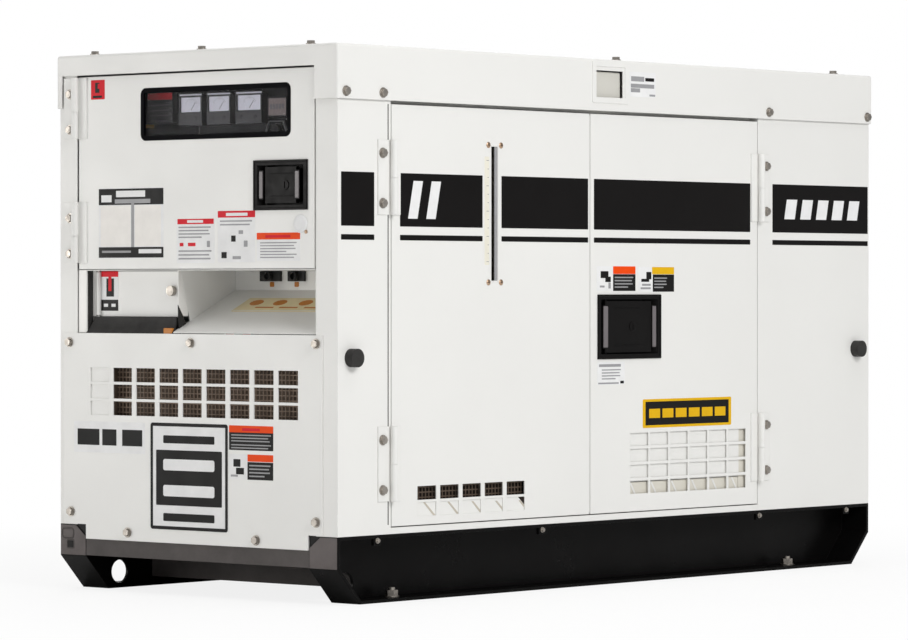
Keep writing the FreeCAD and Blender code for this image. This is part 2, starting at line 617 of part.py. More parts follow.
def latch_opening(name, wide, tall, place, turn):
    """The clearance hole that a latch dish needs in its door skin."""
    half, rise = f"(({wide}) / 2 - latch_rim + 2.5)", f"(({tall}) / 2 - latch_rim + 2.5)"
    block = box(name + "_hole", (f"-{half}", half), ("-1", "sheet + 2"), (f"-{rise}", rise))
    return placed(name + "_latch_hole", block, *place, turn)


# ---------------------------------------------------------------------------------------------
# Doors
# ---------------------------------------------------------------------------------------------
def side_door_tray(name, reach):
    """A skin with returns on its four edges."""
    body = new_body(name + "_tray")
    skin = (f"-{SIDE}", f"-{SIDE} + door_deep")
    inner = (f"{reach[0]} + sheet", f"{reach[1]} - sheet")
    prism(body, "Pad", "XZ", *skin, [rectangle(reach, ("door_low", "door_high"))])
    prism(body, "Pocket", "XZ", f"-{SIDE} + sheet", skin[1],
          [rectangle(inner, ("door_low + sheet", "door_high - sheet"))])
    return body


def inlet_baffle(name, across, up):
    """A channel behind an air inlet that lets air in but not sound out."""
    inner, outer = f"-{SIDE} + sheet", f"-{SIDE} + door_deep - 4"
    plate = box(name + "_plate", across, (f"{outer} - sheet", outer), up)
    webs = [box(name + "_web", (x, f"{x} + sheet"), (inner, outer), up)
            for x in (across[0], f"{across[1]} - sheet")]
    return fuse(name, [plate] + webs)


SIDE_LATCH = ("side_latch_wide", "side_latch_tall")
SIDE_LATCH_PLACE = ("side_latch_x", f"-{SIDE}", "side_latch_z")
END_LATCH = ("end_latch_wide", "end_latch_tall")
END_LATCH_PLACE = (f"-{END}", "end_latch_y", "end_latch_z")


def side_doors(halves):
    """The two doors of the side that is seen, and the twin of the rear one on the far side."""
    front = side_door_tray("front_door", ("front_door_low", "front_door_high"))
    grille = prism(front, "Pocket", "XZ", f"-{SIDE}", f"-{SIDE} + sheet", [rectangle(
        ("grille_x", "grille_x + grille_wide"), ("grille_z", "grille_z + grille_tall"))])
    repeat(front, grille, "grille_pitch_x", 5, "grille_pitch_z", 2)
    prism(front, "Pocket", "XZ", f"-{SIDE}", f"-{SIDE} + sheet", [rectangle(
        ("gauge_slot_low", "gauge_slot_high"), ("gauge_slot_foot", "gauge_slot_head"))])
    leaves = [placed("front_door_leaf", halves["side", -1][1], "front_pivot_x", f"-{SIDE}", level)
              for level in ("side_hinge_lower", "side_hinge_upper")]
    front_baffle = inlet_baffle("front_baffle", ("-590", "-262"), ("140", "172"))
    right_front = group("right_front_door", [front, front_baffle] + leaves)
    rear = side_door_tray("rear_door", ("rear_door_low", "rear_door_high"))
    inlet = prism(rear, "Pocket", "XZ", f"-{SIDE}", f"-{SIDE} + sheet", [rectangle(
        ("inlet_x", "inlet_x + inlet_wide"), ("inlet_z", "inlet_z + inlet_tall"))])
    repeat(rear, inlet, "inlet_pitch_x", 6, "inlet_pitch_z", 4)
    skin = cut("rear_door_skin", rear,
               [latch_opening("right", *SIDE_LATCH, SIDE_LATCH_PLACE, 0)])
    leaves = [placed("rear_door_leaf", halves["side", 1][1], "rear_pivot_x", f"-{SIDE}", level)
              for level in ("side_hinge_lower", "side_hinge_upper")]
    rear_baffle = inlet_baffle("rear_baffle", ("8", "396"), ("150", "290"))
    right_rear = group("right_rear_door", [skin, rear_baffle] + leaves)
    return [right_front, right_rear, mirror("left_door", right_rear)]


def control_door(halves):
    """The door over the instruments, with a window and its own latch."""
    body = new_body("control_door_tray")
    skin = (f"-{END}", f"-{END} + control_door_deep")
    reach = ("control_door_right", "control_door_left")
    inner = ("control_door_right + sheet", "control_door_left - sheet")
    prism(body, "Pad", "YZ", *skin, [rectangle(reach, ("control_door_low", "control_door_high"))])
    prism(body, "Pocket", "YZ", f"-{END} + sheet", skin[1],
          [rectangle(inner, ("control_door_low + sheet", "control_door_high - sheet"))])
    prism(body, "Pocket", "YZ", f"-{END}", f"-{END} + sheet", [rectangle(
        ("window_right", "window_left"), ("window_low", "window_high"))])
    shell = cut("control_door_shell", body,
                [latch_opening("control", *END_LATCH, END_LATCH_PLACE, -90)])
    leaves = [placed("control_door_leaf", halves["end", -1][1], f"-{END}", "end_pivot_y", level, -90)
              for level in ("end_hinge_lower", "end_hinge_upper")]
    pane = box("door_window", (f"-{END} + sheet", f"-{END} + sheet + window_glass"),
               ("window_right - 10", "window_left + 10"), ("window_low - 10", "window_high + 10"))
    pane.Label = "door_window"
    return [group("control_door", [shell] + leaves), pane]


def hinge_posts(halves):
    """The fixed halves of all the hinges, with their pins."""
    fixed = []
    for level in ("side_hinge_lower", "side_hinge_upper"):
        fixed.append(placed("front_post_half", halves["side", -1][0], "front_pivot_x",
                            f"-{SIDE}", level))
        rear = placed("rear_post_half", halves["side", 1][0], "rear_pivot_x", f"-{SIDE}", level)
        fixed.extend([rear, mirror("left_post_half", rear)])
    for level in ("end_hinge_lower", "end_hinge_upper"):
        fixed.append(placed("end_post_half", halves["end", -1][0], f"-{END}", "end_pivot_y",
                            level, -90))
    return group("hinge_posts", fixed)


# ---------------------------------------------------------------------------------------------
# Control end: instruments, terminals and outlets
# ---------------------------------------------------------------------------------------------
def control_box():
    """The steel box behind the instrument panel."""
    outer = box("box_outer", ("-panel_front + 3", "-box_back"), ("-box_half", "box_half"),
                ("box_low", "box_high"))
    inner = box("box_inner", ("-panel_front", "-box_back - sheet"),
                ("-box_half + sheet", "box_half - sheet"), ("box_low + sheet", "box_high - sheet"))
    return cut("control_box", outer, [inner])


METERS = ((68, 12), (-1, -58), (-71, -134))


def instrument_panel():
    plate = box("panel_plate", ("-panel_front", "-panel_front + 3"), ("-box_half", "box_half"),
                ("box_low", "box_high"))
    holes = [rod("key_hole", "x", ("-panel_front - 1", "60", "700"), "9.1", "5"),
             box("toggle_hole", ("-panel_front - 1", "-panel_front + 4"), ("-84", "-66"),
                 ("676", "724"))]
    return cut("instrument_panel", plate, holes)


def panel_meters(breaker_case):
    """Three meters, the indicator block and the hour meter on the panel, the breaker behind it."""
    cases = [breaker_case]
    for left, right in METERS:
        case = box("meter_case", ("-panel_front - 16", "-panel_front"), (str(right), str(left)),
                   ("meter_low", "meter_high"))
        face = box("meter_face", ("-panel_front - 17", "-panel_front - 13"),
                   (f"{right} + 3", f"{left} - 3"), ("meter_high - 31", "meter_high - 3"))
        cases.append(cut("meter", case, [face]))
    cases.append(box("indicator_block", ("-panel_front - 12", "-panel_front"), ("87", "151"),
                     ("meter_low + 8", "meter_high + 7")))
    cases.append(box("hour_meter", ("-panel_front - 10", "-panel_front"), ("-188", "-144"),
                     ("847", "876")))
    cases.append(rod("panel_lamp", "x", ("-panel_front - 8", "-157", "823"), "8", "8"))
    return group("panel_meters", cases)


def key_switch():
    barrel = rod("key_barrel", "x", ("-panel_front - 8", "60", "700"), "9", "40")
    bow = box("key_bow", ("-panel_front - 24", "-panel_front - 7"), ("58.8", "61.2"),
              ("691", "709"))
    return fuse("key_switch", [barrel, bow])


def main_breaker():
    """The breaker's case with its mouth, and the toggle on a cross pin."""
    case = box("breaker_case", ("-panel_front + 4", "-panel_front + 60"), ("-110", "-40"),
               ("640", "760"))
    mouth = box("breaker_mouth", ("-panel_front + 3", "-panel_front + 40"), ("-84", "-66"),
                ("676", "724"))
    bore = rod("breaker_bore", "y", ("-panel_front + 18", "-90", "700"), "3.05", "30")
    blade = box("toggle_blade", ("-panel_front - 14", "-panel_front + 18"), ("-82", "-68"),
                ("695", "705"))
    hub = rod("toggle_hub", "y", ("-panel_front + 18", "-82", "700"), "7", "14")
    pin = rod("toggle_pin", "y", ("-panel_front + 18", "-88", "700"), "3", "26")
    return cut("breaker_case", case, [mouth, bore]), fuse("breaker_toggle", [blade, hub, pin])


def terminal_bay():
    """The lined recess under the control door: a cable space and a sloping outlet recess."""
    front = f"-{END} + sheet"
    top = ("bay_high", "bay_high + 1")
    left, right = "opening_left - 23", "opening_right + 3"
    walls = [
        box("bay_left", (front, "-bay_back"), (left, f"{left} + 1"), ("bay_low", "bay_high")),
        box("bay_right", (front, "-bay_back"), (f"{right} - 1", right), ("bay_low", "bay_high")),
        box("bay_top", (front, "-bay_back"), (right, left), top),
        box("bay_rear", ("-bay_back", "-bay_back + 1"), (right, left), ("bay_low", "bay_high")),
        box("bay_floor_left", ("-flap_face + 26", "-bay_back"), ("partition_y", left),
            ("bay_low - 1", "bay_low")),
    ]
    ramp = new_body("bay_ramp")
    prism(ramp, "Pad", "XZ", right, "partition_y", [[
        (front, "bay_low - 1"), ("-bay_back", "bay_low - 1"), ("-bay_back", "ramp_rise"),
        ("-bay_back - 1", "ramp_rise"), (front, "bay_low + 1")]])
    partition = new_body("bay_partition")
    prism(partition, "Pad", "XZ", "partition_y - sheet", "partition_y", [[
        ("-cover_face", "bay_high"), ("-flap_face + 30", "bay_low"), ("-bay_back", "bay_low"),
        ("-bay_back", "bay_high")]])
    return group("terminal_bay", walls + [ramp, partition, cover_hinge_pin()])


def terminal_board():
    base = box("board_base", ("-bay_back - 24", "-bay_back"), ("80", "240"), ("500", "560"))
    studs = [rod("terminal_stud", "x", ("-bay_back - 58", f"{100 + 40 * n}", "530"), "6", "34")
             for n in range(4)]
    return group("terminal_board", [base] + studs)


def receptacles():
    """Outlet bodies on the sloping recess's back wall, with their flanges and contact wells."""
    pieces = []
    for low, high in ((-60, -10), (-118, -78)):
        flange = box("outlet_flange", ("-bay_back - 5", "-bay_back"), (str(low), str(high)),
                     ("outlet_foot", "outlet_head"))
        centre = ("-bay_back - 14", f"{(low + high) / 2}", "(outlet_foot + outlet_head) / 2")
        well = rod("outlet_well", "x", centre, "outlet_well", "10")
        mouth = rod("outlet_mouth", "x", ("-bay_back - 15", *centre[1:]), "outlet_mouth", "8")
        pieces.append(cut("outlet", fuse("outlet_shape", [flange, well]), [mouth]))
    return group("receptacles", pieces)


def cable_flap():
    """The rubber curtain that closes round the load cables, cut into fingers."""
    front = ("-flap_face", "-flap_face + 4")
    curtain = box("flap_sheet", front, ("partition_y + 1", "flap_left"),
                  ("bay_low - 8", "cover_low - 2"))
    slits = [box("flap_slit", ("-flap_face - 1", "-flap_face + 5"), (f"{y} - 0.5", f"{y} + 0.5"),
                 ("bay_low - 9", "bay_low + 14")) for y in range(78, 250, 24)]
    return cut("cable_flap", curtain, slits)


def terminal_cover():
    """The hinged cover over the cable lugs, with a quarter-turn knob."""
    plate = box("cover_plate", ("-cover_face", "-cover_face + sheet"),
                ("cover_right", "cover_left"), ("cover_low", "cover_high"))
    rim = box("cover_rim", ("-cover_face", "-cover_face + 10"),
              ("cover_right + 3", "cover_right + 5"), ("cover_low", "cover_high"))
    hole = rod("knob_hole", "x", ("-cover_face - 1", "74", "540"), "3.05", "4")
    barrel = rod("cover_barrel", "z", ("-cover_face - 3", "cover_left + 3", "cover_low + 2"),
                 "4", "cover_high - cover_low - 4")
    bore = rod("cover_bore", "z", ("-cover_face - 3", "cover_left + 3", "cover_low"),
               "2.05", "cover_high - cover_low")
    stem = rod("knob_stem", "x", ("-cover_face - 6", "74", "540"), "3", "14")
    grip = rod("knob_grip", "x", ("-cover_face - 9", "74", "540"), "9", "8")
    cam = box("knob_cam", ("-cover_face + 4", "-cover_face + 7"), ("71", "77"), ("534", "560"))
    cover = cut("terminal_cover", fuse("cover_shape", [plate, rim, barrel]), [hole, bore])
    return [cover, fuse("cover_knob", [stem, grip, cam])]


def cover_hinge_pin():
    """The cover's pin, held top and bottom by the bay."""
    pin = rod("cover_pin", "z", ("-cover_face - 3", "cover_left + 3", "bay_low + 12"), "2",
              "bay_high - bay_low - 12")
    foot = box("pin_foot", ("-cover_face - 6", "-cover_face + 14"),
               ("cover_left", "opening_left - 23"), ("bay_low + 12", "bay_low + 16"))
    return fuse("cover_hinge_pin", [pin, foot])


# ---------------------------------------------------------------------------------------------
# Engine, generator and cooling, on one shaft line along X
# ---------------------------------------------------------------------------------------------
def generator():
    """The stator shell with end brackets, and the rotor with flywheel on the crankshaft."""
    stator = turned("stator_shell", [
        ("stator_start", "shaft_bore"), ("stator_start", "stator_radius - 20"),
        ("stator_start + 20", "stator_radius"), ("stator_end", "stator_radius"),
        ("stator_end", "stator_bore"), ("stator_start + 24", "stator_bore"),
        ("stator_start + 24", "shaft_bore")], "shaft_z")
    feet = [box("stator_foot", ("-mount_x - 40", "-mount_x + 40"),
                (f"{sign}bearer_y - 28", f"{sign}bearer_y + 28"),
                ("mount_high", "mount_high + 26")) for sign in ("-", "")]
    ribs = [box("stator_rib", ("-mount_x - 8", "-mount_x + 8"),
                (low, high), ("mount_high + 20", "mount_high + 80"))
            for low, high in (("-bearer_y - 10", "-bearer_y + 60"), ("bearer_y - 60", "bearer_y + 10"))]
    outlet_box = box("stator_box", ("-470", "-330"), ("-80", "80"), ("shaft_z + 140", "shaft_z + 205"))
    shell = fuse("stator_body", [stator] + feet + ribs + [outlet_box])
    bore = rod("stator_clear", "x", ("stator_start + 24", "0", "shaft_z"), "stator_bore", "600")
    housing = turned("housing_ring", [
        ("stator_end", "flywheel_radius + 14"), ("stator_end", "housing_radius"),
        ("housing_end", "housing_radius"), ("housing_end", "flywheel_radius + 14")], "shaft_z")
    rotor = turned("generator_rotor", [
        ("stator_start - 18", "0"), ("stator_start - 18", "shaft_radius"),
        ("stator_start + 60", "shaft_radius"), ("stator_start + 60", "rotor_radius"),
        ("stator_end - 50", "rotor_radius"), ("stator_end - 50", "shaft_radius"),
        ("stator_end + 12", "shaft_radius"), ("stator_end + 12", "flywheel_radius"),
        ("housing_end - 8", "flywheel_radius"), ("housing_end - 8", "shaft_radius"),
        ("pulley_start", "shaft_radius"), ("pulley_start", "0")], "shaft_z")
    return [cut("generator_stator", shell, [bore]), rename(housing, "flywheel_housing"), rotor]


def rename(item, name):
    item.Label = name
    return item


def engine_block():
    core = box("block_core", ("housing_end", "block_end"), ("-block_half", "block_half"),
               ("block_low", "block_high"))
    boss = rod("pump_boss", "x", ("block_end - 60", "0", "fan_z"), "36", "74")
    side = box("injection_pump", ("60", "230"), ("-block_half - 52", "-block_half"),
               ("330", "420"))
    feet = [box("engine_foot", ("mount_front_x - 40", "mount_front_x + 40"),
                (f"{sign}bearer_y - 30", f"{sign}bearer_y + 30"),
                ("mount_high", "mount_high + 14")) for sign in ("-", "")]
    arms = [box("engine_arm", ("mount_front_x - 30", "mount_front_x + 30"), reach,
                ("mount_high", "mount_high + 80"))
            for reach in (("-bearer_y", "-block_half + 10"), ("block_half - 10", "bearer_y"))]
    ribs = [box("block_rib", (f"{-40 + 78 * n}", f"{-30 + 78 * n}"),
                ("-block_half - 8", "block_half + 8"), ("block_low + 10", "block_high - 60"))
            for n in range(5)]
    bores = [rod("crank_bore", "x", ("housing_end - 1", "0", "shaft_z"), "shaft_bore", "600"),
             rod("fan_shaft_bore", "x", ("block_end - 40", "0", "fan_z"), "fan_bore", "80"),
             box("pan_room", ("housing_end", "block_end + 1"), ("-block_half + 19", "block_half - 19"),
                 ("0", "block_low"))]
    return cut("engine_block", fuse("block_body", [core, boss, side] + feet + arms + ribs), bores)


def head_and_covers():
    """Cylinder head, rocker cover and oil pan."""
    head = box("head_core", ("housing_end + 10", "block_end - 6"), ("-105", "105"),
               ("block_high", "head_high"))
    hollow = rod("boss_room", "x", ("block_end - 62", "0", "fan_z"), "36.5", "80")
    ports = [rod("exhaust_port", "y", (f"{-10 + 95 * n}", "105", "515"), "17", "22")
             for n in range(4)]
    log = rod("exhaust_log", "x", ("-40", "140", "manifold_z"), "24", "340")
    inlets = [rod("inlet_port", "y", (f"{10 + 65 * n}", "-125", "manifold_z"), "15", "22")
              for n in range(4)]
    inlet_log = rod("inlet_log", "x", ("-10", "intake_y", "manifold_z"), "22", "235")
    head = cut("cylinder_head", fuse("head_body", [head, log, inlet_log] + ports + inlets), [hollow])
    cover = box("rocker_core", ("housing_end + 24", "block_end - 20"), ("-62", "62"),
                ("head_high", "rocker_high"))
    cap = rod("oil_cap", "z", ("240", "0", "rocker_high - 1"), "24", "17")
    rocker = fuse("rocker_cover", [rounded("rocker_shape", cover, "roof_round"), cap])
    pan = new_body("oil_pan")
    prism(pan, "Pad", "XZ", "-block_half + 20", "block_half - 20", [[
        ("housing_end + 8", "block_low"), ("housing_end + 8", "block_low - 30"),
        ("housing_end + 40", "pan_low"), ("block_end - 150", "pan_low"),
        ("block_end - 90", "block_low - 30"), ("block_end - 8", "block_low - 30"),
        ("block_end - 8", "block_low")]])
    return [head, rocker, pan]


def engine_fittings():
    """Starter and charging alternator, and the oil and fuel filters."""
    starter = rod("starter_case", "x", ("-66", "block_half + 48", "270"), "38", "150")
    solenoid = rod("starter_solenoid", "x", ("-60", "block_half + 48", "322"), "22", "96")
    dynamo = rod("dynamo_case", "x", ("250", "block_half + 66", "400"), "56", "86")
    stay = box("dynamo_stay", ("262", "290"), ("block_half + 9", "block_half + 30"), ("380", "420"))
    electrics = group("engine_electrics", [fuse("starter", [starter, solenoid]),
                                           fuse("dynamo", [dynamo, stay])])
    spin_on = rod("oil_filter", "z", ("40", "-block_half - 58", "205"), "38", "95")
    neck = box("oil_filter_head", ("15", "65"), ("-block_half - 60", "-block_half - 8"),
               ("300", "322"))
    fuel = rod("fuel_filter", "z", ("270", "-block_half - 62", "470"), "36", "85")
    bracket = box("fuel_filter_head", ("245", "295"), ("-block_half - 64", "-105"), ("555", "572"))
    filters = group("engine_filters", [fuse("oil_filter_set", [spin_on, neck]),
                                       fuse("fuel_filter_set", [fuel, bracket])])
    return [electrics, filters]


def pulley(name, start, height):
    return turned(name, [
        ("0", "0"), ("0", "pulley_radius + 8"), ("3", "pulley_radius + 8"),
        ("6", "pulley_radius"), ("pulley_end - pulley_start - 6", "pulley_radius"),
        ("pulley_end - pulley_start - 3", "pulley_radius + 8"),
        ("pulley_end - pulley_start", "pulley_radius + 8"), ("pulley_end - pulley_start", "0")],
        height, start)


def belt_loop(name, radius, start, length):
    """A stadium-shaped prism round both pulleys."""
    ends = [rod(name + "_turn", "x", (start, "0", level), radius, length)
            for level in ("shaft_z", "fan_z")]
    middle = box(name + "_run", (start, f"{start} + {length}"), (f"-({radius})", radius),
                 ("shaft_z", "fan_z"))
    return fuse(name, ends + [middle])


def fan_blade(turn):
    """A flat pitched blade that stands out of the hub at one angle round the fan shaft."""
    pitch = FreeCAD.Rotation(Vector(0, 0, 1), 35)
    chord = size("blade_chord")
    middle = Vector((size("fan_start") + size("fan_end")) / 2, 0, size("fan_z"))
    root = pitch.multVec(Vector(-chord / 2, -1.5, 0)) + Vector(0, 0, size("hub_radius") - 6)
    blade = doc.addObject("Part::Box", "fan_blade")
    bind(blade, "Length", "blade_chord")
    bind(blade, "Width", "blade_thick")
    bind(blade, "Height", "fan_radius - hub_radius + 6")
    ring = FreeCAD.Placement(middle, FreeCAD.Rotation(Vector(1, 0, 0), turn))
    blade.Placement = ring.multiply(FreeCAD.Placement(root, pitch))
    return blade


def fan_drive():
    """Crank pulley, belt, and the fan with its own pulley and shaft."""
    crank = pulley("crank_pulley", "pulley_start", "shaft_z")
    wide, start = "pulley_end - pulley_start - 14", "pulley_start + 7"
    belt = cut("fan_belt", belt_loop("belt_outer", "pulley_radius + belt_gap + 6", start, wide),
               [belt_loop("belt_inner", "pulley_radius + belt_gap", f"{start} - 1", f"{wide} + 2")])
    wheel = pulley("fan_pulley", "pulley_start", "fan_z")
    shaft = rod("fan_shaft", "x", ("block_end - 38", "0", "fan_z"), "fan_shaft", "100")
    hub = rod("fan_hub", "x", ("pulley_end", "0", "fan_z"), "hub_radius", "fan_end - pulley_end")
    blades = [fan_blade(turn) for turn in range(20, 380, 45)]
    fan = fuse("cooling_fan", [fuse("fan_wheel", [wheel, shaft]), fuse("fan_rotor", [hub] + blades)])
    return [crank, belt, fan]


def radiator_set():
    """Core with side tanks, the shroud with its ring, and the two water hoses."""
    wide = ("-radiator_half", "radiator_half")
    deep = ("radiator_start", "radiator_end")
    core = box("radiator_core", ("radiator_start + 8", "radiator_end - 8"), wide,
               ("radiator_low + 50", "radiator_high - 50"))
    top = box("top_tank", deep, wide, ("radiator_high - 50", "radiator_high"))
    foot = box("bottom_tank", deep, wide, ("radiator_low", "radiator_low + 50"))
    stands = [box("radiator_stand", ("radiator_start + 5", "radiator_end - 5"),
                  (f"{low}", f"{low} + 30"), ("bearer_high + sheet", "radiator_low"))
              for low in (-215, 185)]
    neck = rod("radiator_neck", "z", ("530", "-150", "radiator_high - 1"), "21", "25")
    radiator = group("radiator", [core, fuse("top_tank_set", [top, neck]), foot] + stands)
    outer = box("shroud_outer", ("shroud_start", "radiator_start"),
                ("-radiator_half + 6", "radiator_half - 6"), ("radiator_low + 50", "706"))
    inner = box("shroud_inner", ("shroud_start + sheet", "radiator_start + 1"),
                ("-radiator_half + 8", "radiator_half - 8"), ("radiator_low + 52", "704"))
    ring = rod("shroud_ring", "x", ("fan_start + 4", "0", "fan_z"), "fan_radius + 12", "45")
    bore = rod("shroud_bore", "x", ("fan_start", "0", "fan_z"), "fan_radius + 9", "80")
    shroud = cut("fan_shroud", fuse("shroud_body", [outer, ring]), [inner, bore])
    return [radiator, shroud]


def bent_pipe(name, points, radius, bend, wall=None):
    """A pipe of straight runs joined by arcs, through a list of corner points."""
    corners = [Vector(*point) for point in points]
    edges = []
    here = corners[0]
    for before, corner, after in zip(corners, corners[1:], corners[2:]):
        arrive = (corner - before).normalize()
        leave = (after - corner).normalize()
        turn = arrive.getAngle(leave)
        trim = bend * math.tan(turn / 2)
        entry, exit_point = corner - arrive * trim, corner + leave * trim
        inward = (leave - arrive).normalize()
        middle = corner + inward * (bend / math.cos(turn / 2) - bend)
        edges.append(Part.LineSegment(here, entry).toShape())
        edges.append(Part.Arc(entry, middle, exit_point).toShape())
        here = exit_point
    edges.append(Part.LineSegment(here, corners[-1]).toShape())
    path = Part.Wire(edges)
    start_way = corners[1] - corners[0]
    rings = [Part.Wire([Part.makeCircle(radius, corners[0], start_way)])]
    solid = path.makePipeShell(rings, True, True)
    if wall:
        hollow = path.makePipeShell(
            [Part.Wire([Part.makeCircle(radius - wall, corners[0], start_way)])], True, True)
        solid = solid.cut(hollow)
    feature = doc.addObject("Part::Feature", name)
    feature.Shape = solid
    return feature


def pipe_work():
    """Exhaust with muffler, air cleaner, and the hoses for water and intake air."""
    axis = size("muffler_x")
    run, level = size("exhaust_run_z"), size("muffler_z")
    route = [(280, 140, size("manifold_z") + 24.2), (280, 140, run), (axis, 140, run),
             (axis, 140, level + size("muffler_radius") - 1)]
    down = bent_pipe("exhaust_down", route, size("exhaust_radius"), 45)
    can = rod("muffler_can", "y", ("muffler_x", "-muffler_half", "muffler_z"), "muffler_radius",
              "2 * muffler_half")
    bands = [rod("muffler_band", "y", ("muffler_x", f"{sign}muffler_leg_y - 8", "muffler_z"),
                 "muffler_radius + 4", "16") for sign in ("-", "")]
    tail = rod("tail_pipe", "x", ("muffler_x", "0", "muffler_z"), "exhaust_radius",
               f"{END} - muffler_x + 8")
    legs = [box("muffler_leg", ("muffler_x - 20", "muffler_x + 20"),
                (f"{sign}muffler_leg_y - 3", f"{sign}muffler_leg_y + 3"),
                ("bearer_high + sheet", "muffler_z")) for sign in ("-", "")]
    exhaust = group("exhaust_system", [down, fuse("muffler", [can, tail] + bands + legs)])
    canister = rod("cleaner_can", "x", ("cleaner_start", "cleaner_y", "cleaner_z"),
                   "cleaner_radius", "cleaner_long")
    lid = rod("cleaner_lid", "x", ("cleaner_start + cleaner_long - 2", "cleaner_y", "cleaner_z"),
              "cleaner_radius + 4", "22")
    saddle = box("cleaner_saddle", ("100", "130"), ("cleaner_y - 30", "cleaner_y + 40"),
                 ("rocker_high", "cleaner_z - 60"))
    cleaner = fuse("air_cleaner", [canister, lid, saddle])
    start, side_y, cleaner_level = size("cleaner_start"), size("cleaner_y"), size("cleaner_z")
    log_y, log_level, turn_x = size("intake_y"), size("manifold_z"), start - 52
    intake = bent_pipe("intake_hose", [
        (start, side_y, cleaner_level), (turn_x, side_y, cleaner_level),
        (turn_x, log_y, cleaner_level), (turn_x, log_y, log_level), (start + 10, log_y, log_level)],
        20, 22)
    tank_face, tank_level = size("radiator_start"), size("radiator_high") - 25
    top_hose = bent_pipe("top_hose", [(310, -84, size("head_high")), (310, -84, tank_level),
                                      (tank_face, -84, tank_level)], 19, 40)
    low_level = size("radiator_low") + 25
    low_hose = bent_pipe("bottom_hose", [(size("block_end"), -95, 240), (400, -95, 240),
                                         (440, -175, low_level), (tank_face, -175, low_level)],
                         19, 22)
    return [exhaust, cleaner, group("hoses", [top_hose, low_hose, intake])]


def support_parts():
    """Rubber mounts and the battery with its posts and hold-down."""
    mounts = [rod("rubber_mount", "z", (x, f"{sign}bearer_y", "bearer_high + sheet"),
                  "mount_radius", "mount_high - bearer_high - sheet")
              for x in ("-mount_x", "mount_front_x") for sign in ("-", "")]
    case = box("battery_case", ("battery_x - battery_half", "battery_x + battery_half"),
               ("-battery_outer", "-battery_inner"),
               ("bearer_high + sheet + 9", "bearer_high + battery_tall"))
    tray = box("battery_tray", ("battery_x - battery_half - 6", "battery_x + battery_half + 6"),
               ("-battery_outer - 3", "-battery_inner + 6"),
               ("bearer_high + sheet", "bearer_high + sheet + 9"))
    posts = [rod("battery_post", "z", (f"battery_x {sign} battery_post_x", "-battery_outer + 23",
                                       "bearer_high + battery_tall - 1"), "8", "18")
             for sign in ("-", "+")]
    battery = fuse("battery", [case, tray] + posts)
    return [group("engine_mounts", mounts), battery]


def fuel_system():
    """The tank over the generator, its filler and bayonet cap, and the sight gauge."""
    block = box("tank_block", ("tank_low_x", "tank_high_x"), ("tank_low_y", "tank_high_y"),
                ("tank_low", "tank_high"))
    shell = rounded("tank_shape", block, "roof_round")
    neck = rod("filler_neck", "z", ("filler_x", "filler_y", "tank_high - 1"), "filler_radius", "21")
    throat = rod("filler_throat", "z", ("filler_x", "filler_y", "tank_high - 120"),
                 "filler_radius - 3", "150")
    feet = [box("tank_foot", (x, f"{x} + 24"), (y, f"{y} + 6"),
                ("bearer_high + sheet", "tank_low + 12"))
            for x in ("tank_low_x + 6", "tank_high_x - 60") for y in ("-205", "170")]
    tank = cut("fuel_tank", fuse("tank_body", [shell, neck] + feet), [throat])
    plug = rod("cap_plug", "z", ("filler_x", "filler_y", "tank_high + 8"), "filler_radius - 3.3",
               "18")
    top = rod("cap_top", "z", ("filler_x", "filler_y", "tank_high + 20.4"), "filler_radius + 7",
              "16")
    ears = box("cap_ears", ("filler_x - filler_radius - 2", "filler_x + filler_radius + 2"),
               ("filler_y - 5", "filler_y + 5"), ("tank_high + 36", "tank_high + 44"))
    cap = fuse("fuel_cap", [plug, top, ears])
    tube = box("gauge_tube", ("gauge_slot_low + 3", "gauge_slot_high - 3"), ("-306", "-294"),
               ("gauge_slot_foot + 6", "gauge_slot_head - 10"))
    ends = [box("gauge_fitting", ("gauge_slot_low", "gauge_slot_high"), ("-304", "tank_low_y"),
                (low, f"{low} + 12")) for low in ("gauge_slot_foot + 12", "gauge_slot_head - 28")]
    return [tank, cap, group("fuel_gauge", [tube] + ends)]


def lifting_frame():
    """Two legs from the base, a beam across the top and the lug for the crane hook."""
    across = ("beam_low_x", "beam_high_x")
    beam = box("lift_beam", across, (f"-{SIDE} + 2.5", f"{SIDE} - 2.5"), ("beam_low", "beam_high"))
    hollow = box("lift_beam_hollow", ("beam_low_x + plate", "beam_high_x - plate"),
                 (f"-{SIDE} + 8", f"{SIDE} - 8"), ("beam_low + plate", "beam_high - plate"))
    slot = box("hook_room", ("beam_low_x - 1", "beam_high_x + 1"), ("-60", "60"),
               ("beam_low + plate", "beam_high + 1"))
    middle = "(beam_low_x + beam_high_x) / 2"
    lug = box("lift_lug", (f"{middle} - lug_half", f"{middle} + lug_half"),
              ("-lug_thick / 2", "lug_thick / 2"), ("beam_low + plate", "lug_top"))
    eye = rod("lift_eye", "y", (middle, "-20", "eye_z - 12"), "eye_radius", "40")
    legs = []
    for sign in ("-", ""):
        reach = ((f"-leg_y", "-leg_y + leg_thick") if sign else ("leg_y - leg_thick", "leg_y"))
        legs.append(box("lift_leg", across, reach, ("base_top", "beam_low")))
    top = cut("lift_top", fuse("lift_top_body", [cut("lift_beam_shell", beam, [hollow, slot]), lug]),
              [eye])
    return group("lifting_frame", [top] + legs)


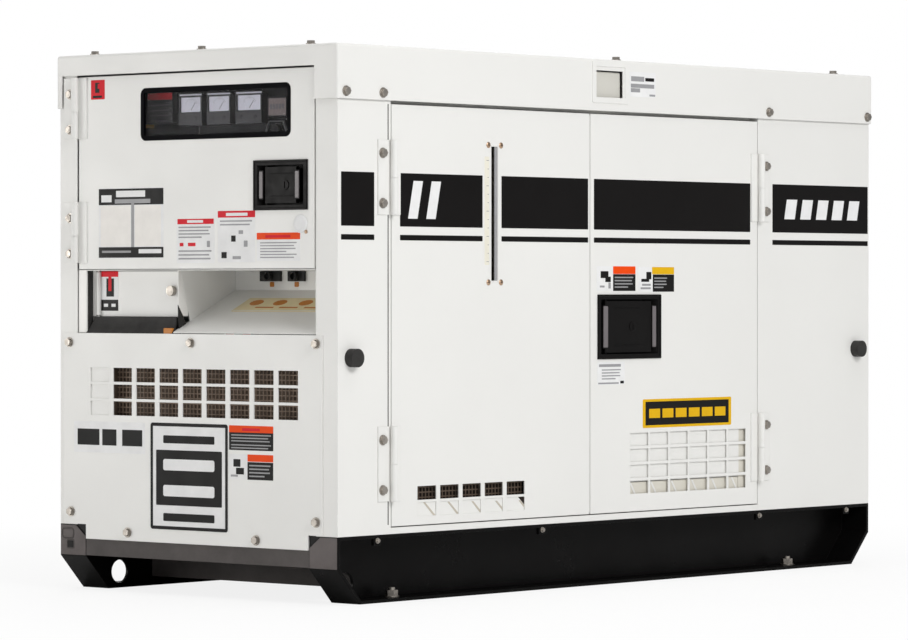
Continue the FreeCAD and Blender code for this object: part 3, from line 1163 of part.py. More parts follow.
# ---------------------------------------------------------------------------------------------
# Fasteners and bumpers
# ---------------------------------------------------------------------------------------------
def bolt_master(kind):
    """One flange bolt about the origin: the seat is at z = 0 and the shank points down."""
    head = doc.addObject("Part::Prism", kind + "_hexagon")
    bind(head, "Circumradius", kind + "_across")
    bind(head, "Height", kind + "_head")
    bind(head, "Placement.Base.z", kind + "_flange_thick")
    flange = rod(kind + "_disc", "z", ("0", "0", "0"), kind + "_flange", kind + "_flange_thick")
    stem = rod(kind + "_stem", "z", ("0", "0", f"-{kind}_length"), kind + "_shank",
               kind + "_length")
    return fuse(kind + "_master", [head, flange, stem])


def bolt_group(name, master, places):
    """Copies of one bolt at listed seats; each has a position and the way that its head points."""
    doc.recompute()
    copies = []
    for position, way in places:
        copy = master.Shape.copy()
        turn = FreeCAD.Rotation(Vector(0, 0, 1), Vector(*way))
        copy.Placement = FreeCAD.Placement(Vector(*position), turn)
        copies.append(copy)
    feature = doc.addObject("Part::Feature", name)
    feature.Shape = Part.makeCompound(copies)
    feature.Label = name
    return feature


def bolt_seats():
    """Each bolt's seat on the covers and hinges, with the way that its head points."""
    side, end, lap = size("base_width") / 2, size("base_length") / 2, size("roof_lap")
    sheet_thick, leaf = size("sheet"), size("leaf")
    places = []
    for sign in (-1, 1):
        way = (0, sign, 0)
        places += [((x, sign * (side + lap), z), way) for x, z in ROOF_BOLTS]
        places += [((x, sign * (side + leaf), z), way)
                   for x, z in hinge_bolts("side", "rear_pivot_x", 1)]
    places += [((x, -side - leaf, z), (0, -1, 0))
               for x, z in hinge_bolts("side", "front_pivot_x", -1)]
    places += [((x, side, z), (0, 1, 0)) for x in (-700, -420, -140) for z in (160, 520)]
    places += [((x, y, size("roof_top")), (0, 0, 1)) for x, y in ROOF_TOP_BOLTS]
    places += [((-end - sheet_thick, y, z), (-1, 0, 0)) for y, z in VENT_PANEL_BOLTS]
    places += [((-end - leaf, y, z), (-1, 0, 0))
               for y, z in hinge_bolts("end", "end_pivot_y", 1)]
    places += [((end + sheet_thick, y, z), (1, 0, 0)) for y, z in REAR_PANEL_BOLTS]
    return places


def base_bolt_seats():
    """Bolts through the tabs under the base's top edge."""
    side, level = size("base_width") / 2, size("base_bolt_z")
    return [((x, sign * side, level), (0, sign, 0)) for x in BASE_BOLTS for sign in (-1, 1)]


def base_nuts():
    """Plated nuts on studs in the rails' bottom flanges."""
    nuts = []
    for x in BASE_NUTS:
        for y in ("-anchor_y", "anchor_y"):
            nut = doc.addObject("Part::Prism", "nut")
            bind(nut, "Circumradius", "nut_across")
            bind(nut, "Height", "nut_thick")
            for place, text in zip("xyz", (str(x), y, "plate + 2")):
                bind(nut, "Placement.Base." + place, text)
            washer = rod("nut_washer", "z", (str(x), y, "plate"), "nut_across + 2", "2")
            stud = rod("nut_stud", "z", (str(x), y, "0.5"), "stud_radius", "plate + nut_thick + 6")
            nuts.append(fuse("base_nut", [nut, washer, stud]))
    return nuts


def door_bumpers():
    """Rubber stops for the opened doors."""
    pads = []
    for x, z in ((-746, 425), (735, 425)):
        pads.append(rod("bumper", "y", (str(x), f"-{SIDE} - bumper_out", str(z)),
                        "bumper_radius", "bumper_out"))
        pads.append(rod("bumper", "y", (str(x), SIDE, str(z)), "bumper_radius", "bumper_out"))
    return group("door_bumpers", pads)


# ---------------------------------------------------------------------------------------------
# The whole machine
# ---------------------------------------------------------------------------------------------
def build():
    halves = hinge_pairs()
    rail = skid_rail()
    nodes = [rail, mirror("skid_rail_left", rail), cross_members(), drip_tray(), roof_cover()]
    nodes += front_posts() + rear_posts()
    nodes += [inner_frame(), front_vent_panel(), rear_panel(), hinge_posts(halves)]
    nodes += side_doors(halves) + control_door(halves)
    dish, paddle = flush_latch("right", *SIDE_LATCH, SIDE_LATCH_PLACE, 0)
    nodes += [dish, paddle, mirror("latch_dish_left", dish), mirror("latch_paddle_left", paddle)]
    nodes += flush_latch("control", *END_LATCH, END_LATCH_PLACE, -90)
    breaker_case, toggle = main_breaker()
    nodes += [control_box(), instrument_panel(), panel_meters(breaker_case), key_switch(), toggle]
    nodes += [terminal_bay(), terminal_board(), receptacles(), cable_flap()]
    nodes += terminal_cover() + generator() + [engine_block()] + head_and_covers()
    nodes += engine_fittings() + fan_drive() + radiator_set() + pipe_work() + support_parts()
    bolts = group("all_bolts", [
        bolt_group("cover_bolts", bolt_master("bolt"), bolt_seats()),
        bolt_group("tab_bolts", bolt_master("tab_bolt"), base_bolt_seats())])
    nodes += fuel_system()
    nodes += [lifting_frame(), group("flange_bolts", [bolts] + base_nuts()), door_bumpers()]
    return nodes


def check(nodes):
    """Stops on any failed object, bad shape, or cut that removed nothing."""
    doc.recompute()
    for item in doc.Objects:
        if "Invalid" in item.State or "Error" in item.State:
            raise RuntimeError(f"{item.Label} failed: {item.State}")
        if item.TypeId == "PartDesign::Pocket":
            if item.Shape.Volume > item.BaseFeature.Shape.Volume - 1:
                raise RuntimeError(f"{item.Label} cut nothing")
    for node in nodes:
        if node.Shape.isNull() or not node.Shape.isValid():
            raise RuntimeError(f"{node.Label} has no valid shape")


def write(nodes):
    os.makedirs("parts", exist_ok=True)
    for node in nodes:
        node.Shape.exportStep(f"parts/{node.Label}.step")
        bounds = node.Shape.BoundBox
        print(f"{node.Label:22} {len(node.Shape.Solids):3} solids "
              f"x {bounds.XMin:8.1f} {bounds.XMax:8.1f} y {bounds.YMin:7.1f} {bounds.YMax:7.1f} "
              f"z {bounds.ZMin:6.1f} {bounds.ZMax:6.1f}")


ALL_NODES = build()
check(ALL_NODES)
write(ALL_NODES)
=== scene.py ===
import math

import bmesh
import bpy
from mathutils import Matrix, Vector


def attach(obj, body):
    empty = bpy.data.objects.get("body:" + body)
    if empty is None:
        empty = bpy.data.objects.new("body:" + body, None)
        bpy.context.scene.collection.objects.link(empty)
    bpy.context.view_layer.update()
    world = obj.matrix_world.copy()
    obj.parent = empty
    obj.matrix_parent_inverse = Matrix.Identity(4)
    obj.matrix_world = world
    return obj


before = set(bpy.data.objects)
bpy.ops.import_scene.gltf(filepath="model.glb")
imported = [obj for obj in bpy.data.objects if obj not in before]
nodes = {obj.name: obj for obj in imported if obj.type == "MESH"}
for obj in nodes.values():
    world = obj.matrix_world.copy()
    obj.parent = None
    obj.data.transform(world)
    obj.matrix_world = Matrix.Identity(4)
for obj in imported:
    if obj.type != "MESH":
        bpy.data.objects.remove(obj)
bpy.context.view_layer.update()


# ---- Camera, floor and light ----
def aim(thing, place, towards):
    """Puts a thing in its place, facing a point."""
    thing.location = place
    thing.rotation_euler = (Vector(towards) - Vector(place)).to_track_quat("-Z", "Y").to_euler()


def linked(name, data):
    """A new object for the data, in the scene's collection."""
    made = bpy.data.objects.new(name, data)
    bpy.context.collection.objects.link(made)
    return made


def set_camera():
    data = bpy.data.cameras.new("camera")
    data.sensor_width = 36
    data.lens = 171.59
    data.clip_end = 200
    camera = linked("camera", data)
    place = Vector((-6.2469, -5.3383, 0.5471))
    yaw, pitch = math.radians(40.894), math.radians(0.439)
    ahead = Vector((math.cos(yaw) * math.cos(pitch), math.sin(yaw) * math.cos(pitch),
                    -math.sin(pitch)))
    aim(camera, place, place + ahead)
    bpy.context.scene.camera = camera


def soft_light(name, place, towards, wide, tall, watts, tint=(1, 1, 1)):
    data = bpy.data.lights.new(name, "AREA")
    data.shape = "RECTANGLE"
    data.size, data.size_y = wide, tall
    data.energy = watts
    data.color = tint
    aim(linked(name, data), place, towards)


def set_studio():
    bpy.context.scene.view_settings.view_transform = "Standard"
    world = bpy.data.worlds.new("studio")
    bpy.context.scene.world = world
    world.use_nodes = True
    tree = world.node_tree
    sky = tree.nodes["Background"]
    sky.inputs["Color"].default_value = (1.0, 1.0, 1.0, 1)
    sky.inputs["Strength"].default_value = 0.33
    backdrop = tree.nodes.new("ShaderNodeBackground")
    backdrop.inputs["Color"].default_value = (1.0, 1.0, 1.0, 1)
    mix = tree.nodes.new("ShaderNodeMixShader")
    seen = tree.nodes.new("ShaderNodeLightPath")
    tree.links.new(seen.outputs["Is Camera Ray"], mix.inputs["Fac"])
    tree.links.new(sky.outputs["Background"], mix.inputs[1])
    tree.links.new(backdrop.outputs["Background"], mix.inputs[2])
    tree.links.new(mix.outputs["Shader"], tree.nodes["World Output"].inputs["Surface"])
    soft_light("key_side", (-1.6, -6.0, 3.6), (0, 0, 0.4), 3.0, 2.0, 218)
    soft_light("end_box", (-4.4, 3.6, 0.8), (-0.78, 0, 0.3), 2.6, 1.2, 58, (1, 0.985, 0.955))
    soft_light("top_box", (0, 0, 6.0), (0, 0, 0), 6.0, 6.0, 150)
    soft_light("rim_back", (5.5, 4.5, 3.0), (0.3, 0, 0.5), 3.0, 2.5, 70)


# ---- Materials ----
class Finish:
    """A Principled material whose colour, roughness and relief come from noise in object space."""

    def __init__(self, name, **fixed):
        self.material = bpy.data.materials.new(name)
        self.material.use_nodes = True
        self.tree = self.material.node_tree
        self.shader = self.tree.nodes["Principled BSDF"]
        for socket, value in fixed.items():
            self.shader.inputs[socket.replace("_", " ")].default_value = value
        self.place = self.node("ShaderNodeTexCoord").outputs["Object"]
        self.normal = None

    def node(self, kind, **settings):
        made = self.tree.nodes.new(kind)
        for key, value in settings.items():
            setattr(made, key, value)
        return made

    def link(self, source, target):
        self.tree.links.new(source, target)

    def stretched(self, scale):
        if isinstance(scale, (int, float)):
            return self.place, scale
        mapping = self.node("ShaderNodeMapping")
        self.link(self.place, mapping.inputs["Vector"])
        mapping.inputs["Scale"].default_value = [s / max(scale) for s in scale]
        return mapping.outputs["Vector"], max(scale)

    def noise(self, scale, detail=4.0, rough=0.55):
        vector, size = self.stretched(scale)
        made = self.node("ShaderNodeTexNoise")
        self.link(vector, made.inputs["Vector"])
        made.inputs["Scale"].default_value = size
        made.inputs["Detail"].default_value = detail
        made.inputs["Roughness"].default_value = rough
        return made.outputs["Fac"]

    def cells(self, scale, feature="F1", output="Distance"):
        vector, size = self.stretched(scale)
        made = self.node("ShaderNodeTexVoronoi", feature=feature)
        self.link(vector, made.inputs["Vector"])
        made.inputs["Scale"].default_value = size
        return made.outputs[output]

    def ramp(self, value, *stops):
        made = self.node("ShaderNodeValToRGB")
        while len(made.color_ramp.elements) < len(stops):
            made.color_ramp.elements.new(0.5)
        for element, (at, colour) in zip(made.color_ramp.elements, stops):
            element.position = at
            element.color = (*colour, 1)
        self.link(value, made.inputs["Fac"])
        return made.outputs["Color"]

    def spread(self, value, low, high, start=0.3, end=0.7):
        made = self.node("ShaderNodeMapRange")
        self.link(value, made.inputs["Value"])
        for socket, number in (("From Min", start), ("From Max", end), ("To Min", low),
                               ("To Max", high)):
            made.inputs[socket].default_value = number
        return made.outputs["Result"]

    def colour(self, value, *stops):
        self.link(self.ramp(value, *stops), self.shader.inputs["Base Color"])
        return self

    def roughness(self, value, low, high):
        self.link(self.spread(value, low, high), self.shader.inputs["Roughness"])
        return self

    def relief(self, value, depth, strength=1.0):
        made = self.node("ShaderNodeBump")
        made.inputs["Distance"].default_value = depth
        made.inputs["Strength"].default_value = strength
        self.link(value, made.inputs["Height"])
        if self.normal:
            self.link(self.normal, made.inputs["Normal"])
        self.normal = made.outputs["Normal"]
        self.link(self.normal, self.shader.inputs["Normal"])
        return self

    def soft_edges(self, radius):
        made = self.node("ShaderNodeBevel", samples=4)
        made.inputs["Radius"].default_value = radius
        self.normal = made.outputs["Normal"]
        self.link(self.normal, self.shader.inputs["Normal"])
        return self

    def show(self, factor, second):
        """Mixes the second shader over the first and sends both to the surface."""
        mix = self.node("ShaderNodeMixShader")
        self.link(factor, mix.inputs["Fac"])
        self.link(self.shader.outputs["BSDF"], mix.inputs[1])
        self.link(second, mix.inputs[2])
        self.link(mix.outputs["Shader"], self.tree.nodes["Material Output"].inputs["Surface"])
        return self.material

    def mixed_over(self, mask, colour):
        """Another colour over the present one where the mask is high."""
        base = self.shader.inputs["Base Color"].links[0].from_socket
        made = self.node("ShaderNodeMix", data_type="RGBA")
        self.link(mask, made.inputs["Factor"])
        self.link(base, made.inputs[6])
        made.inputs[7].default_value = (*colour, 1)
        self.link(made.outputs[2], self.shader.inputs["Base Color"])
        return self


def near(colour, by):
    """The same colour, lighter or darker."""
    return tuple(min(1.0, max(0.0, c * by)) for c in colour)


def powder_coat(name, colour, rough=0.42, peel=0.00003):
    made = Finish(name, Coat_Weight=0.12, Coat_Roughness=0.3)
    made.soft_edges(0.0012)
    made.colour(made.noise(3.0, 6), (0.3, near(colour, 0.972)), (0.7, colour))
    made.mixed_over(made.spread(made.noise(260, 2), 0.0, 0.12, 0.62, 0.8), near(colour, 0.8))
    made.roughness(made.noise(9.0, 3), rough - 0.05, rough + 0.06)
    return made.relief(made.noise(420, 2, 0.5), peel).material


def gloss_paint(name, colour, dust, rough=0.3):
    """Chassis paint: glossy, with faint dust and softened edges."""
    made = Finish(name, Specular_IOR_Level=0.07)
    made.soft_edges(0.0018)
    made.colour(made.noise(5.0, 8, 0.7), (0.35, near(colour, 0.8)), (0.75, near(colour, 1.3)))
    made.mixed_over(made.spread(made.noise(38, 8, 0.75), 0.0, 0.12, 0.55, 0.85), dust)
    made.roughness(made.noise(7.0, 6, 0.7), rough - 0.06, rough + 0.12)
    return made.relief(made.noise(180, 3), 0.00006).material


def plastic(name, colour, rough=0.45, grain=900, depth=0.00003, shine=0.28):
    made = Finish(name, Specular_IOR_Level=shine)
    made.soft_edges(0.0007)
    made.colour(made.noise(11, 4), (0.3, near(colour, 0.85)), (0.7, near(colour, 1.12)))
    made.roughness(made.noise(60, 3), rough - 0.06, rough + 0.08)
    return made.relief(made.cells(grain), depth).material


def zinc(name, colour=(0.62, 0.62, 0.6), rough=0.3):
    made = Finish(name, Metallic=1.0)
    made.soft_edges(0.0005)
    made.colour(made.cells(160, output="Color"), (0.2, near(colour, 0.82)), (0.8, colour))
    made.mixed_over(made.spread(made.noise(14, 5), 0, 0.35, 0.55, 0.8), near(colour, 0.6))
    made.roughness(made.noise(120, 4), rough - 0.08, rough + 0.14)
    return made.relief(made.noise((900, 900, 90), 2), 0.00002).material


def cast_metal(name, colour, rough=0.5, metallic=0.0, depth=0.0005):
    made = Finish(name, Metallic=metallic)
    made.soft_edges(0.0015)
    made.colour(made.noise(9, 8, 0.7), (0.3, near(colour, 0.72)), (0.7, near(colour, 1.1)))
    made.mixed_over(made.spread(made.noise(2.6, 6, 0.8), 0, 0.4, 0.5, 0.8), near(colour, 0.45))
    made.roughness(made.noise(40, 5), rough - 0.1, rough + 0.15)
    return made.relief(made.noise(220, 6, 0.7), depth).material


def soft_rubber(name, colour=(0.02, 0.019, 0.018)):
    made = Finish(name, Specular_IOR_Level=0.35)
    made.soft_edges(0.0008)
    made.colour(made.noise(17, 6), (0.3, near(colour, 0.8)), (0.7, near(colour, 1.6)))
    made.mixed_over(made.spread(made.noise(90, 6, 0.8), 0, 0.12, 0.55, 0.8), (0.2, 0.19, 0.17))
    made.roughness(made.noise(50, 4), 0.55, 0.75)
    return made.relief(made.noise(700, 4), 0.00008).material


def film(name, colour, rough=0.4, shine=0.25):
    """Printed vinyl or enamel: even, with a faint sheen and the finest unevenness."""
    made = Finish(name, Specular_IOR_Level=shine)
    made.colour(made.noise(35, 3), (0.3, near(colour, 0.95)), (0.7, near(colour, 1.03)))
    made.roughness(made.noise(22, 3), rough - 0.05, rough + 0.07)
    return made.relief(made.noise(300, 2), 0.00002).material


def window_glass(name, tint, rough=0.04, see=0.95):
    made = Finish(name, IOR=1.45, Transmission_Weight=0.0, Alpha=1.0)
    made.colour(made.noise(4, 2), (0.3, near(tint, 0.03)), (0.7, near(tint, 0.05)))
    made.roughness(made.noise(12, 4), rough, rough + 0.06)
    made.relief(made.noise(6, 2), 0.0002)
    clear = made.node("ShaderNodeBsdfTransparent")
    clear.inputs["Color"].default_value = (*[0.6 + 0.4 * t for t in tint], 1)
    return made.show(made.spread(made.noise(3, 3), see - 0.03, see + 0.03),
                     clear.outputs["BSDF"])


def floor_finish():
    made = Finish("studio_floor", Specular_IOR_Level=0.2)
    made.colour(made.noise(1.2, 3), (0.3, (0.9, 0.9, 0.895)), (0.7, (0.93, 0.93, 0.925)))
    made.roughness(made.noise(5, 3), 0.6, 0.75)
    glow = made.node("ShaderNodeEmission")
    glow.inputs["Color"].default_value = (1, 1, 1, 1)
    glow.inputs["Strength"].default_value = 1.0
    length = made.node("ShaderNodeVectorMath", operation="LENGTH")
    made.link(made.place, length.inputs[0])
    seen = made.node("ShaderNodeLightPath")
    far = made.node("ShaderNodeMath", operation="MULTIPLY")
    made.link(made.spread(length.outputs["Value"], 0.85, 1, 0.9, 2.0), far.inputs[0])
    made.link(seen.outputs["Is Camera Ray"], far.inputs[1])
    return made.show(far.outputs["Value"], glow.outputs["Emission"])


WHITE = (0.845, 0.84, 0.815)
finishes = {
    "cover_paint": powder_coat("cover_paint", WHITE),
    "base_paint": gloss_paint("base_paint", (0.004, 0.0037, 0.0037), (0.03, 0.028, 0.026)),
    "glass": window_glass("glass", (0.8, 0.8, 0.84)),
    "latch_plastic": plastic("latch_plastic", (0.0045, 0.004, 0.004), 0.42, shine=0.12),
    # Darker than the other black plastics: painted shade on the control panel behind the window.
    "panel_plastic": plastic("panel_plastic", (0.003, 0.003, 0.0045), 0.4, shine=0.1),
    "meter_plastic": plastic("meter_plastic", (0.02, 0.019, 0.021), 0.35),
    "plated_steel": zinc("plated_steel", (0.46, 0.425, 0.385), 0.42),
    "black_plastic": plastic("black_plastic", (0.025, 0.024, 0.024), 0.5),
    "rubber": soft_rubber("rubber"),
    "generator_paint": cast_metal("generator_paint", (0.10, 0.11, 0.12), 0.45),
    "engine_paint": cast_metal("engine_paint", (0.22, 0.225, 0.22), 0.42),
    "aluminium": cast_metal("aluminium", (0.62, 0.62, 0.61), 0.35, 1.0, 0.0003),
    "exhaust_steel": cast_metal("exhaust_steel", (0.34, 0.29, 0.25), 0.45, 0.9, 0.0003),
    "battery_plastic": plastic("battery_plastic", (0.03, 0.03, 0.033), 0.4),
    "tank_plastic": plastic("tank_plastic", (0.62, 0.6, 0.52), 0.45, 300),
}
paper = film("paper", (0.84, 0.84, 0.84))
ink = film("ink", (0.009, 0.0085, 0.0085), 0.4, 0.12)
grey_ink = film("grey_ink", (0.33, 0.33, 0.34))
red_ink = film("red_ink", (0.7, 0.012, 0.025), 0.4, 0.1)
orange_ink = film("orange_ink", (0.87, 0.07, 0.004), 0.4, 0.1)
amber_ink = film("amber_ink", (0.78, 0.45, 0.006), 0.4, 0.12)
cream = film("cream", (0.82, 0.79, 0.68))
amber_brown = film("amber_brown", (0.55, 0.2, 0.03))
band_black = film("band_black", (0.005, 0.0042, 0.0042), 0.38, 0.12)
gasket_black = film("gasket_black", (0.0025, 0.0025, 0.0035), 0.5, 0.03)
dial_white = film("dial_white", (0.86, 0.86, 0.93))
# Emission on the dial faces: painted light, as if they were lit behind the window.
dial_glow_shader = dial_white.node_tree.nodes["Principled BSDF"]
dial_glow_shader.inputs["Emission Color"].default_value = (0.92, 0.92, 1.0, 1)
dial_glow_shader.inputs["Emission Strength"].default_value = 0.16
meter_grey = film("meter_grey", (0.2, 0.185, 0.19))
counter_brown = film("counter_brown", (0.3, 0.235, 0.22))
# Lighter grey for the latch grip strips: painted highlight where they slope to the light.
grip_grey = film("grip_grey", (0.17, 0.155, 0.16), 0.3)
# These two are the black chassis paint lightened, with faint dust: painted sheen standing in for
# the end light's reflection on the rail ends and the parts under them. The caps are lighter.
painted_sheen_black = gloss_paint("painted_sheen_black", (0.095, 0.086, 0.083), (0.13, 0.12, 0.115), 0.4)
cap_grey = gloss_paint("cap_grey", (0.135, 0.12, 0.117), (0.17, 0.16, 0.155), 0.4)
mesh_brown = film("mesh_brown", (0.27, 0.2, 0.15), 0.5)
# Dark brown for the inlet screen's wires, and painted shade for the dark sheets and walls behind
# the screens.
dark_mesh_and_painted_shade = film("dark_mesh_and_painted_shade", (0.13, 0.095, 0.07), 0.6)
# The cover paint darkened to beige: painted shade for the deeper plates in the rear inlets.
painted_shade_beige = powder_coat("painted_shade_beige", (0.72, 0.69, 0.61))
# The cover paint made lighter for the cable bay's walls: painted light.
liner_painted_light_white = powder_coat("liner_painted_light_white", (0.93, 0.915, 0.885))
# Near-black: painted shade behind the front inlet's screen and in its deflector's corner.
painted_shade_backing = film("painted_shade_backing", (0.03, 0.022, 0.018), 0.6, 0.1)
# Beige strips: painted shade of the folds on the front inlet's deflector.
painted_fold_shade = film("painted_fold_shade", (0.55, 0.5, 0.42))
strip_yellow = film("strip_yellow", (0.8, 0.69, 0.43))
beam_paint = powder_coat("beam_paint", (0.66, 0.645, 0.59))
brass = zinc("brass_screw", (0.55, 0.38, 0.26), 0.35)
fin_grey = cast_metal("fin_grey", (0.05, 0.05, 0.052), 0.5, 0.4, 0.0002)
warm_paper = film("warm_paper", (0.88, 0.85, 0.81))
PRINT = [paper, ink, grey_ink, red_ink, orange_ink, amber_ink, warm_paper]
PAPER, INK, GREY, RED, ORANGE, AMBER, WARM = range(7)

for node in nodes.values():
    for slot in node.material_slots:
        slot.material = finishes[slot.material.name.split(".")[0]]
nodes["lifting_frame"].material_slots[0].material = beam_paint
# The cross members and drip tray take the lightened black: painted reflected light.
for name in ("cross_members", "drip_tray"):
    nodes[name].material_slots[0].material = painted_sheen_black


# ---- Mesh helpers, all in millimetres on a named face of the machine ----
UP, ALONG = (0, 0, 1), (1, 0, 0)
FACES = {
    "right": lambda u, v, d: (u, -340 - d, v),
    "left": lambda u, v, d: (u, 340 + d, v),
    "end": lambda u, v, d: (-780 - d, u, v),
    "vent": lambda u, v, d: (-782 - d, u, v),
    "cover": lambda u, v, d: (-760 - d, u, v),
    "panel": lambda u, v, d: (-735 - d, u, v),
    "meter": lambda u, v, d: (-748 - d, u, v),
    "back": lambda u, v, d: (-620 - d, u, v),
    "fin": lambda u, v, d: (u, 55 - d, v),
    "ramp": lambda u, v, d: (-778 + 0.9056 * v - 0.4241 * d, u, 467.6 + 0.4241 * v + 0.9056 * d),
    "jamb": lambda u, v, d: (u, 275 - d, v),
    "flap": lambda u, v, d: (u, d + max(0, d - 250) * (494 - v) / 28, v),
    "rear": lambda u, v, d: (782 + d, u, v),
    "inside_right": lambda u, v, d: (u, -338 + d, v),
    "inside_left": lambda u, v, d: (u, 338 - d, v),
    "core": lambda u, v, d: (552 + d, u, v),
    "tray": lambda u, v, d: (u, v, 299 + d),
}


def spot(face, u, v, d):
    """A point on a face, in metres."""
    return Vector(FACES[face](u, v, d)) * 0.001


def round_corners(u0, v0, u1, v1, radius, steps=5):
    """A rounded rectangle as a ring of points."""
    left, right = min(u0, u1), max(u0, u1)
    low, high = min(v0, v1), max(v0, v1)
    radius = max(0.01, min(radius, (right - left) / 2 - 0.01, (high - low) / 2 - 0.01))
    points = []
    for cu, cv, start in ((right - radius, high - radius, 0), (left + radius, high - radius, 90),
                          (left + radius, low + radius, 180),
                          (right - radius, low + radius, 270)):
        for n in range(steps + 1):
            angle = math.radians(start + 90 * n / steps)
            points.append((cu + radius * math.cos(angle), cv + radius * math.sin(angle)))
    return points


def ring(u, v, radius, count=24):
    """A circle as a ring of points."""
    return [(u + radius * math.cos(math.radians(360 * n / count)),
             v + radius * math.sin(math.radians(360 * n / count))) for n in range(count)]


def angles(count):
    """Evenly spaced angles round a full turn."""
    return [2 * math.pi * k / count for k in range(count)]


def loft(mesh, face, levels, index=0, closed=False):
    """Joins rings of points, each with its height off the face, and caps both ends."""
    rows = [[mesh.verts.new(spot(face, u, v, d)) for u, v in points] for points, d in levels]
    made = []
    for lower, upper in zip(rows, rows[1:] + (rows[:1] if closed else [])):
        for n in range(len(lower)):
            m = (n + 1) % len(lower)
            made.append(mesh.faces.new((lower[n], lower[m], upper[m], upper[n])))
    if not closed:
        made += [mesh.faces.new(rows[0]), mesh.faces.new(rows[-1])]
    for each in made:
        each.material_index = index
    return made


def slab(mesh, face, u0, v0, u1, v1, low, high, radius=1.0, chamfer=0.1, index=0):
    """A rounded plate with a chamfered rim."""
    left, right, foot, head = min(u0, u1), max(u0, u1), min(v0, v1), max(v0, v1)
    outer = round_corners(left, foot, right, head, radius)
    inner = round_corners(left + chamfer, foot + chamfer, right - chamfer, head - chamfer,
                          max(radius - chamfer, 0.05))
    return loft(mesh, face, [(outer, low), (outer, high - chamfer), (inner, high)], index)


def frame_ring(mesh, face, u0, v0, u1, v1, wide, low, high, radius, chamfer=0.6, index=0):
    """A rounded frame that runs inwards from a rectangle."""
    def inset(by):
        return round_corners(min(u0, u1) + by, min(v0, v1) + by, max(u0, u1) - by,
                             max(v0, v1) - by, max(radius - by, 0.6))
    levels = [(inset(0), low), (inset(0), high - chamfer), (inset(chamfer), high),
              (inset(wide - chamfer), high), (inset(wide), high - chamfer), (inset(wide), low)]
    return loft(mesh, face, levels, index, closed=True)


def stud(mesh, face, u, v, levels, count=24, index=0):
    """A round boss given as pairs of radius and height off the face."""
    loft(mesh, face, [(ring(u, v, radius, count), height) for radius, height in levels], index)


def patch(mesh, face, points, low, high, index=0):
    """A flat plate with the outline given."""
    return loft(mesh, face, [(points, low), (points, high)], index)


def curve(points, steps=5):
    """A smooth path through the given points."""
    ends = [points[0]] + list(points) + [points[-1]]
    path = []
    for n in range(1, len(ends) - 2):
        p, q, r, t = (Vector(ends[k]) for k in (n - 1, n, n + 1, n + 2))
        for step in range(steps):
            f = step / steps
            path.append(0.5 * (2 * q + (r - p) * f + (2 * p - 5 * q + 4 * r - t) * f ** 2
                               + (3 * q - p - 3 * r + t) * f ** 3))
    return path + [Vector(points[-1])]


def tube(mesh, points, radius, sides=10, index=0):
    """A round bar along a path of points."""
    rows = []
    side = None
    for n, here in enumerate(points):
        ahead = (points[min(n + 1, len(points) - 1)] - points[max(n - 1, 0)]).normalized()
        if side is None:
            side = ahead.orthogonal().normalized()
        side = (side - ahead * side.dot(ahead)).normalized()
        across = ahead.cross(side)
        rows.append([mesh.verts.new(0.001 * (here + radius * (side * math.cos(a)
                                                              + across * math.sin(a))))
                     for a in angles(sides)])
    faces = [mesh.faces.new(rows[0]), mesh.faces.new(rows[-1])]
    for lower, upper in zip(rows, rows[1:]):
        faces += [mesh.faces.new((lower[k], lower[(k + 1) % sides], upper[(k + 1) % sides],
                                  upper[k])) for k in range(sides)]
    for face in faces:
        face.material_index = index


def band(mesh, centre, axis, radius, wide, thick=1.6, index=0):
    """A flat ring round a pipe."""
    along = Vector(axis)
    side = along.orthogonal().normalized()
    across = along.cross(side)
    rows = []
    for offset, reach in ((-wide / 2, radius), (-wide / 2, radius + thick),
                          (wide / 2, radius + thick), (wide / 2, radius)):
        rows.append([mesh.verts.new(0.001 * (Vector(centre) + along * offset + reach * (
            side * math.cos(a) + across * math.sin(a)))) for a in angles(32)])
    for lower, upper in zip(rows, rows[1:] + rows[:1]):
        for k in range(32):
            m = (k + 1) % 32
            mesh.faces.new((lower[k], lower[m], upper[m], upper[k])).material_index = index


def piece(name, body, mesh, materials):
    """Makes the mesh an object that rides the named body."""
    bmesh.ops.recalc_face_normals(mesh, faces=mesh.faces)
    data = bpy.data.meshes.new(name)
    mesh.to_mesh(data)
    mesh.free()
    for material in materials:
        data.materials.append(material)
    data.shade_smooth()
    data.set_sharp_from_angle(angle=math.radians(35))
    made = linked(name, data)
    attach(made, body)
    return made


def fitted(name, body, mesh, slot, *others):
    """A piece whose first material is the CAD material that names its slot."""
    return piece(name, body, mesh, [finishes[slot], *others])


def label(name, body, face, u0, v0, u1, v1, blocks, ground=PAPER, radius=1.5, lift=0.25):
    """A blank sticker: a thin plate with printed blocks given as parts of its width and height."""
    mesh = bmesh.new()
    slab(mesh, face, u0, v0, u1, v1, -0.3, lift, radius, 0.08, ground)
    for n, (a, b, c, d, colour) in enumerate(blocks):
        slab(mesh, face, u0 + (u1 - u0) * a, v0 + (v1 - v0) * b, u0 + (u1 - u0) * c,
             v0 + (v1 - v0) * d, lift - 0.1, lift + 0.1 + 0.015 * n, 0.6, 0.03, colour)
    return piece(name, body, mesh, PRINT)


def lines(u0, v0, u1, v1, count, colour=GREY, ragged=(1.0, 0.93, 0.97, 0.72)):
    """Rows of thin bars in place of print."""
    step = (v1 - v0) / count
    return [(u0, v1 - step * (n + 0.75), u0 + (u1 - u0) * ragged[n % len(ragged)],
             v1 - step * (n + 0.35), colour) for n in range(count)]


# ---- Markings on the right side, and their match on the left ----
BAND_LEVELS, STRIPE_LEVELS = (652, 745), (628, 637.5)


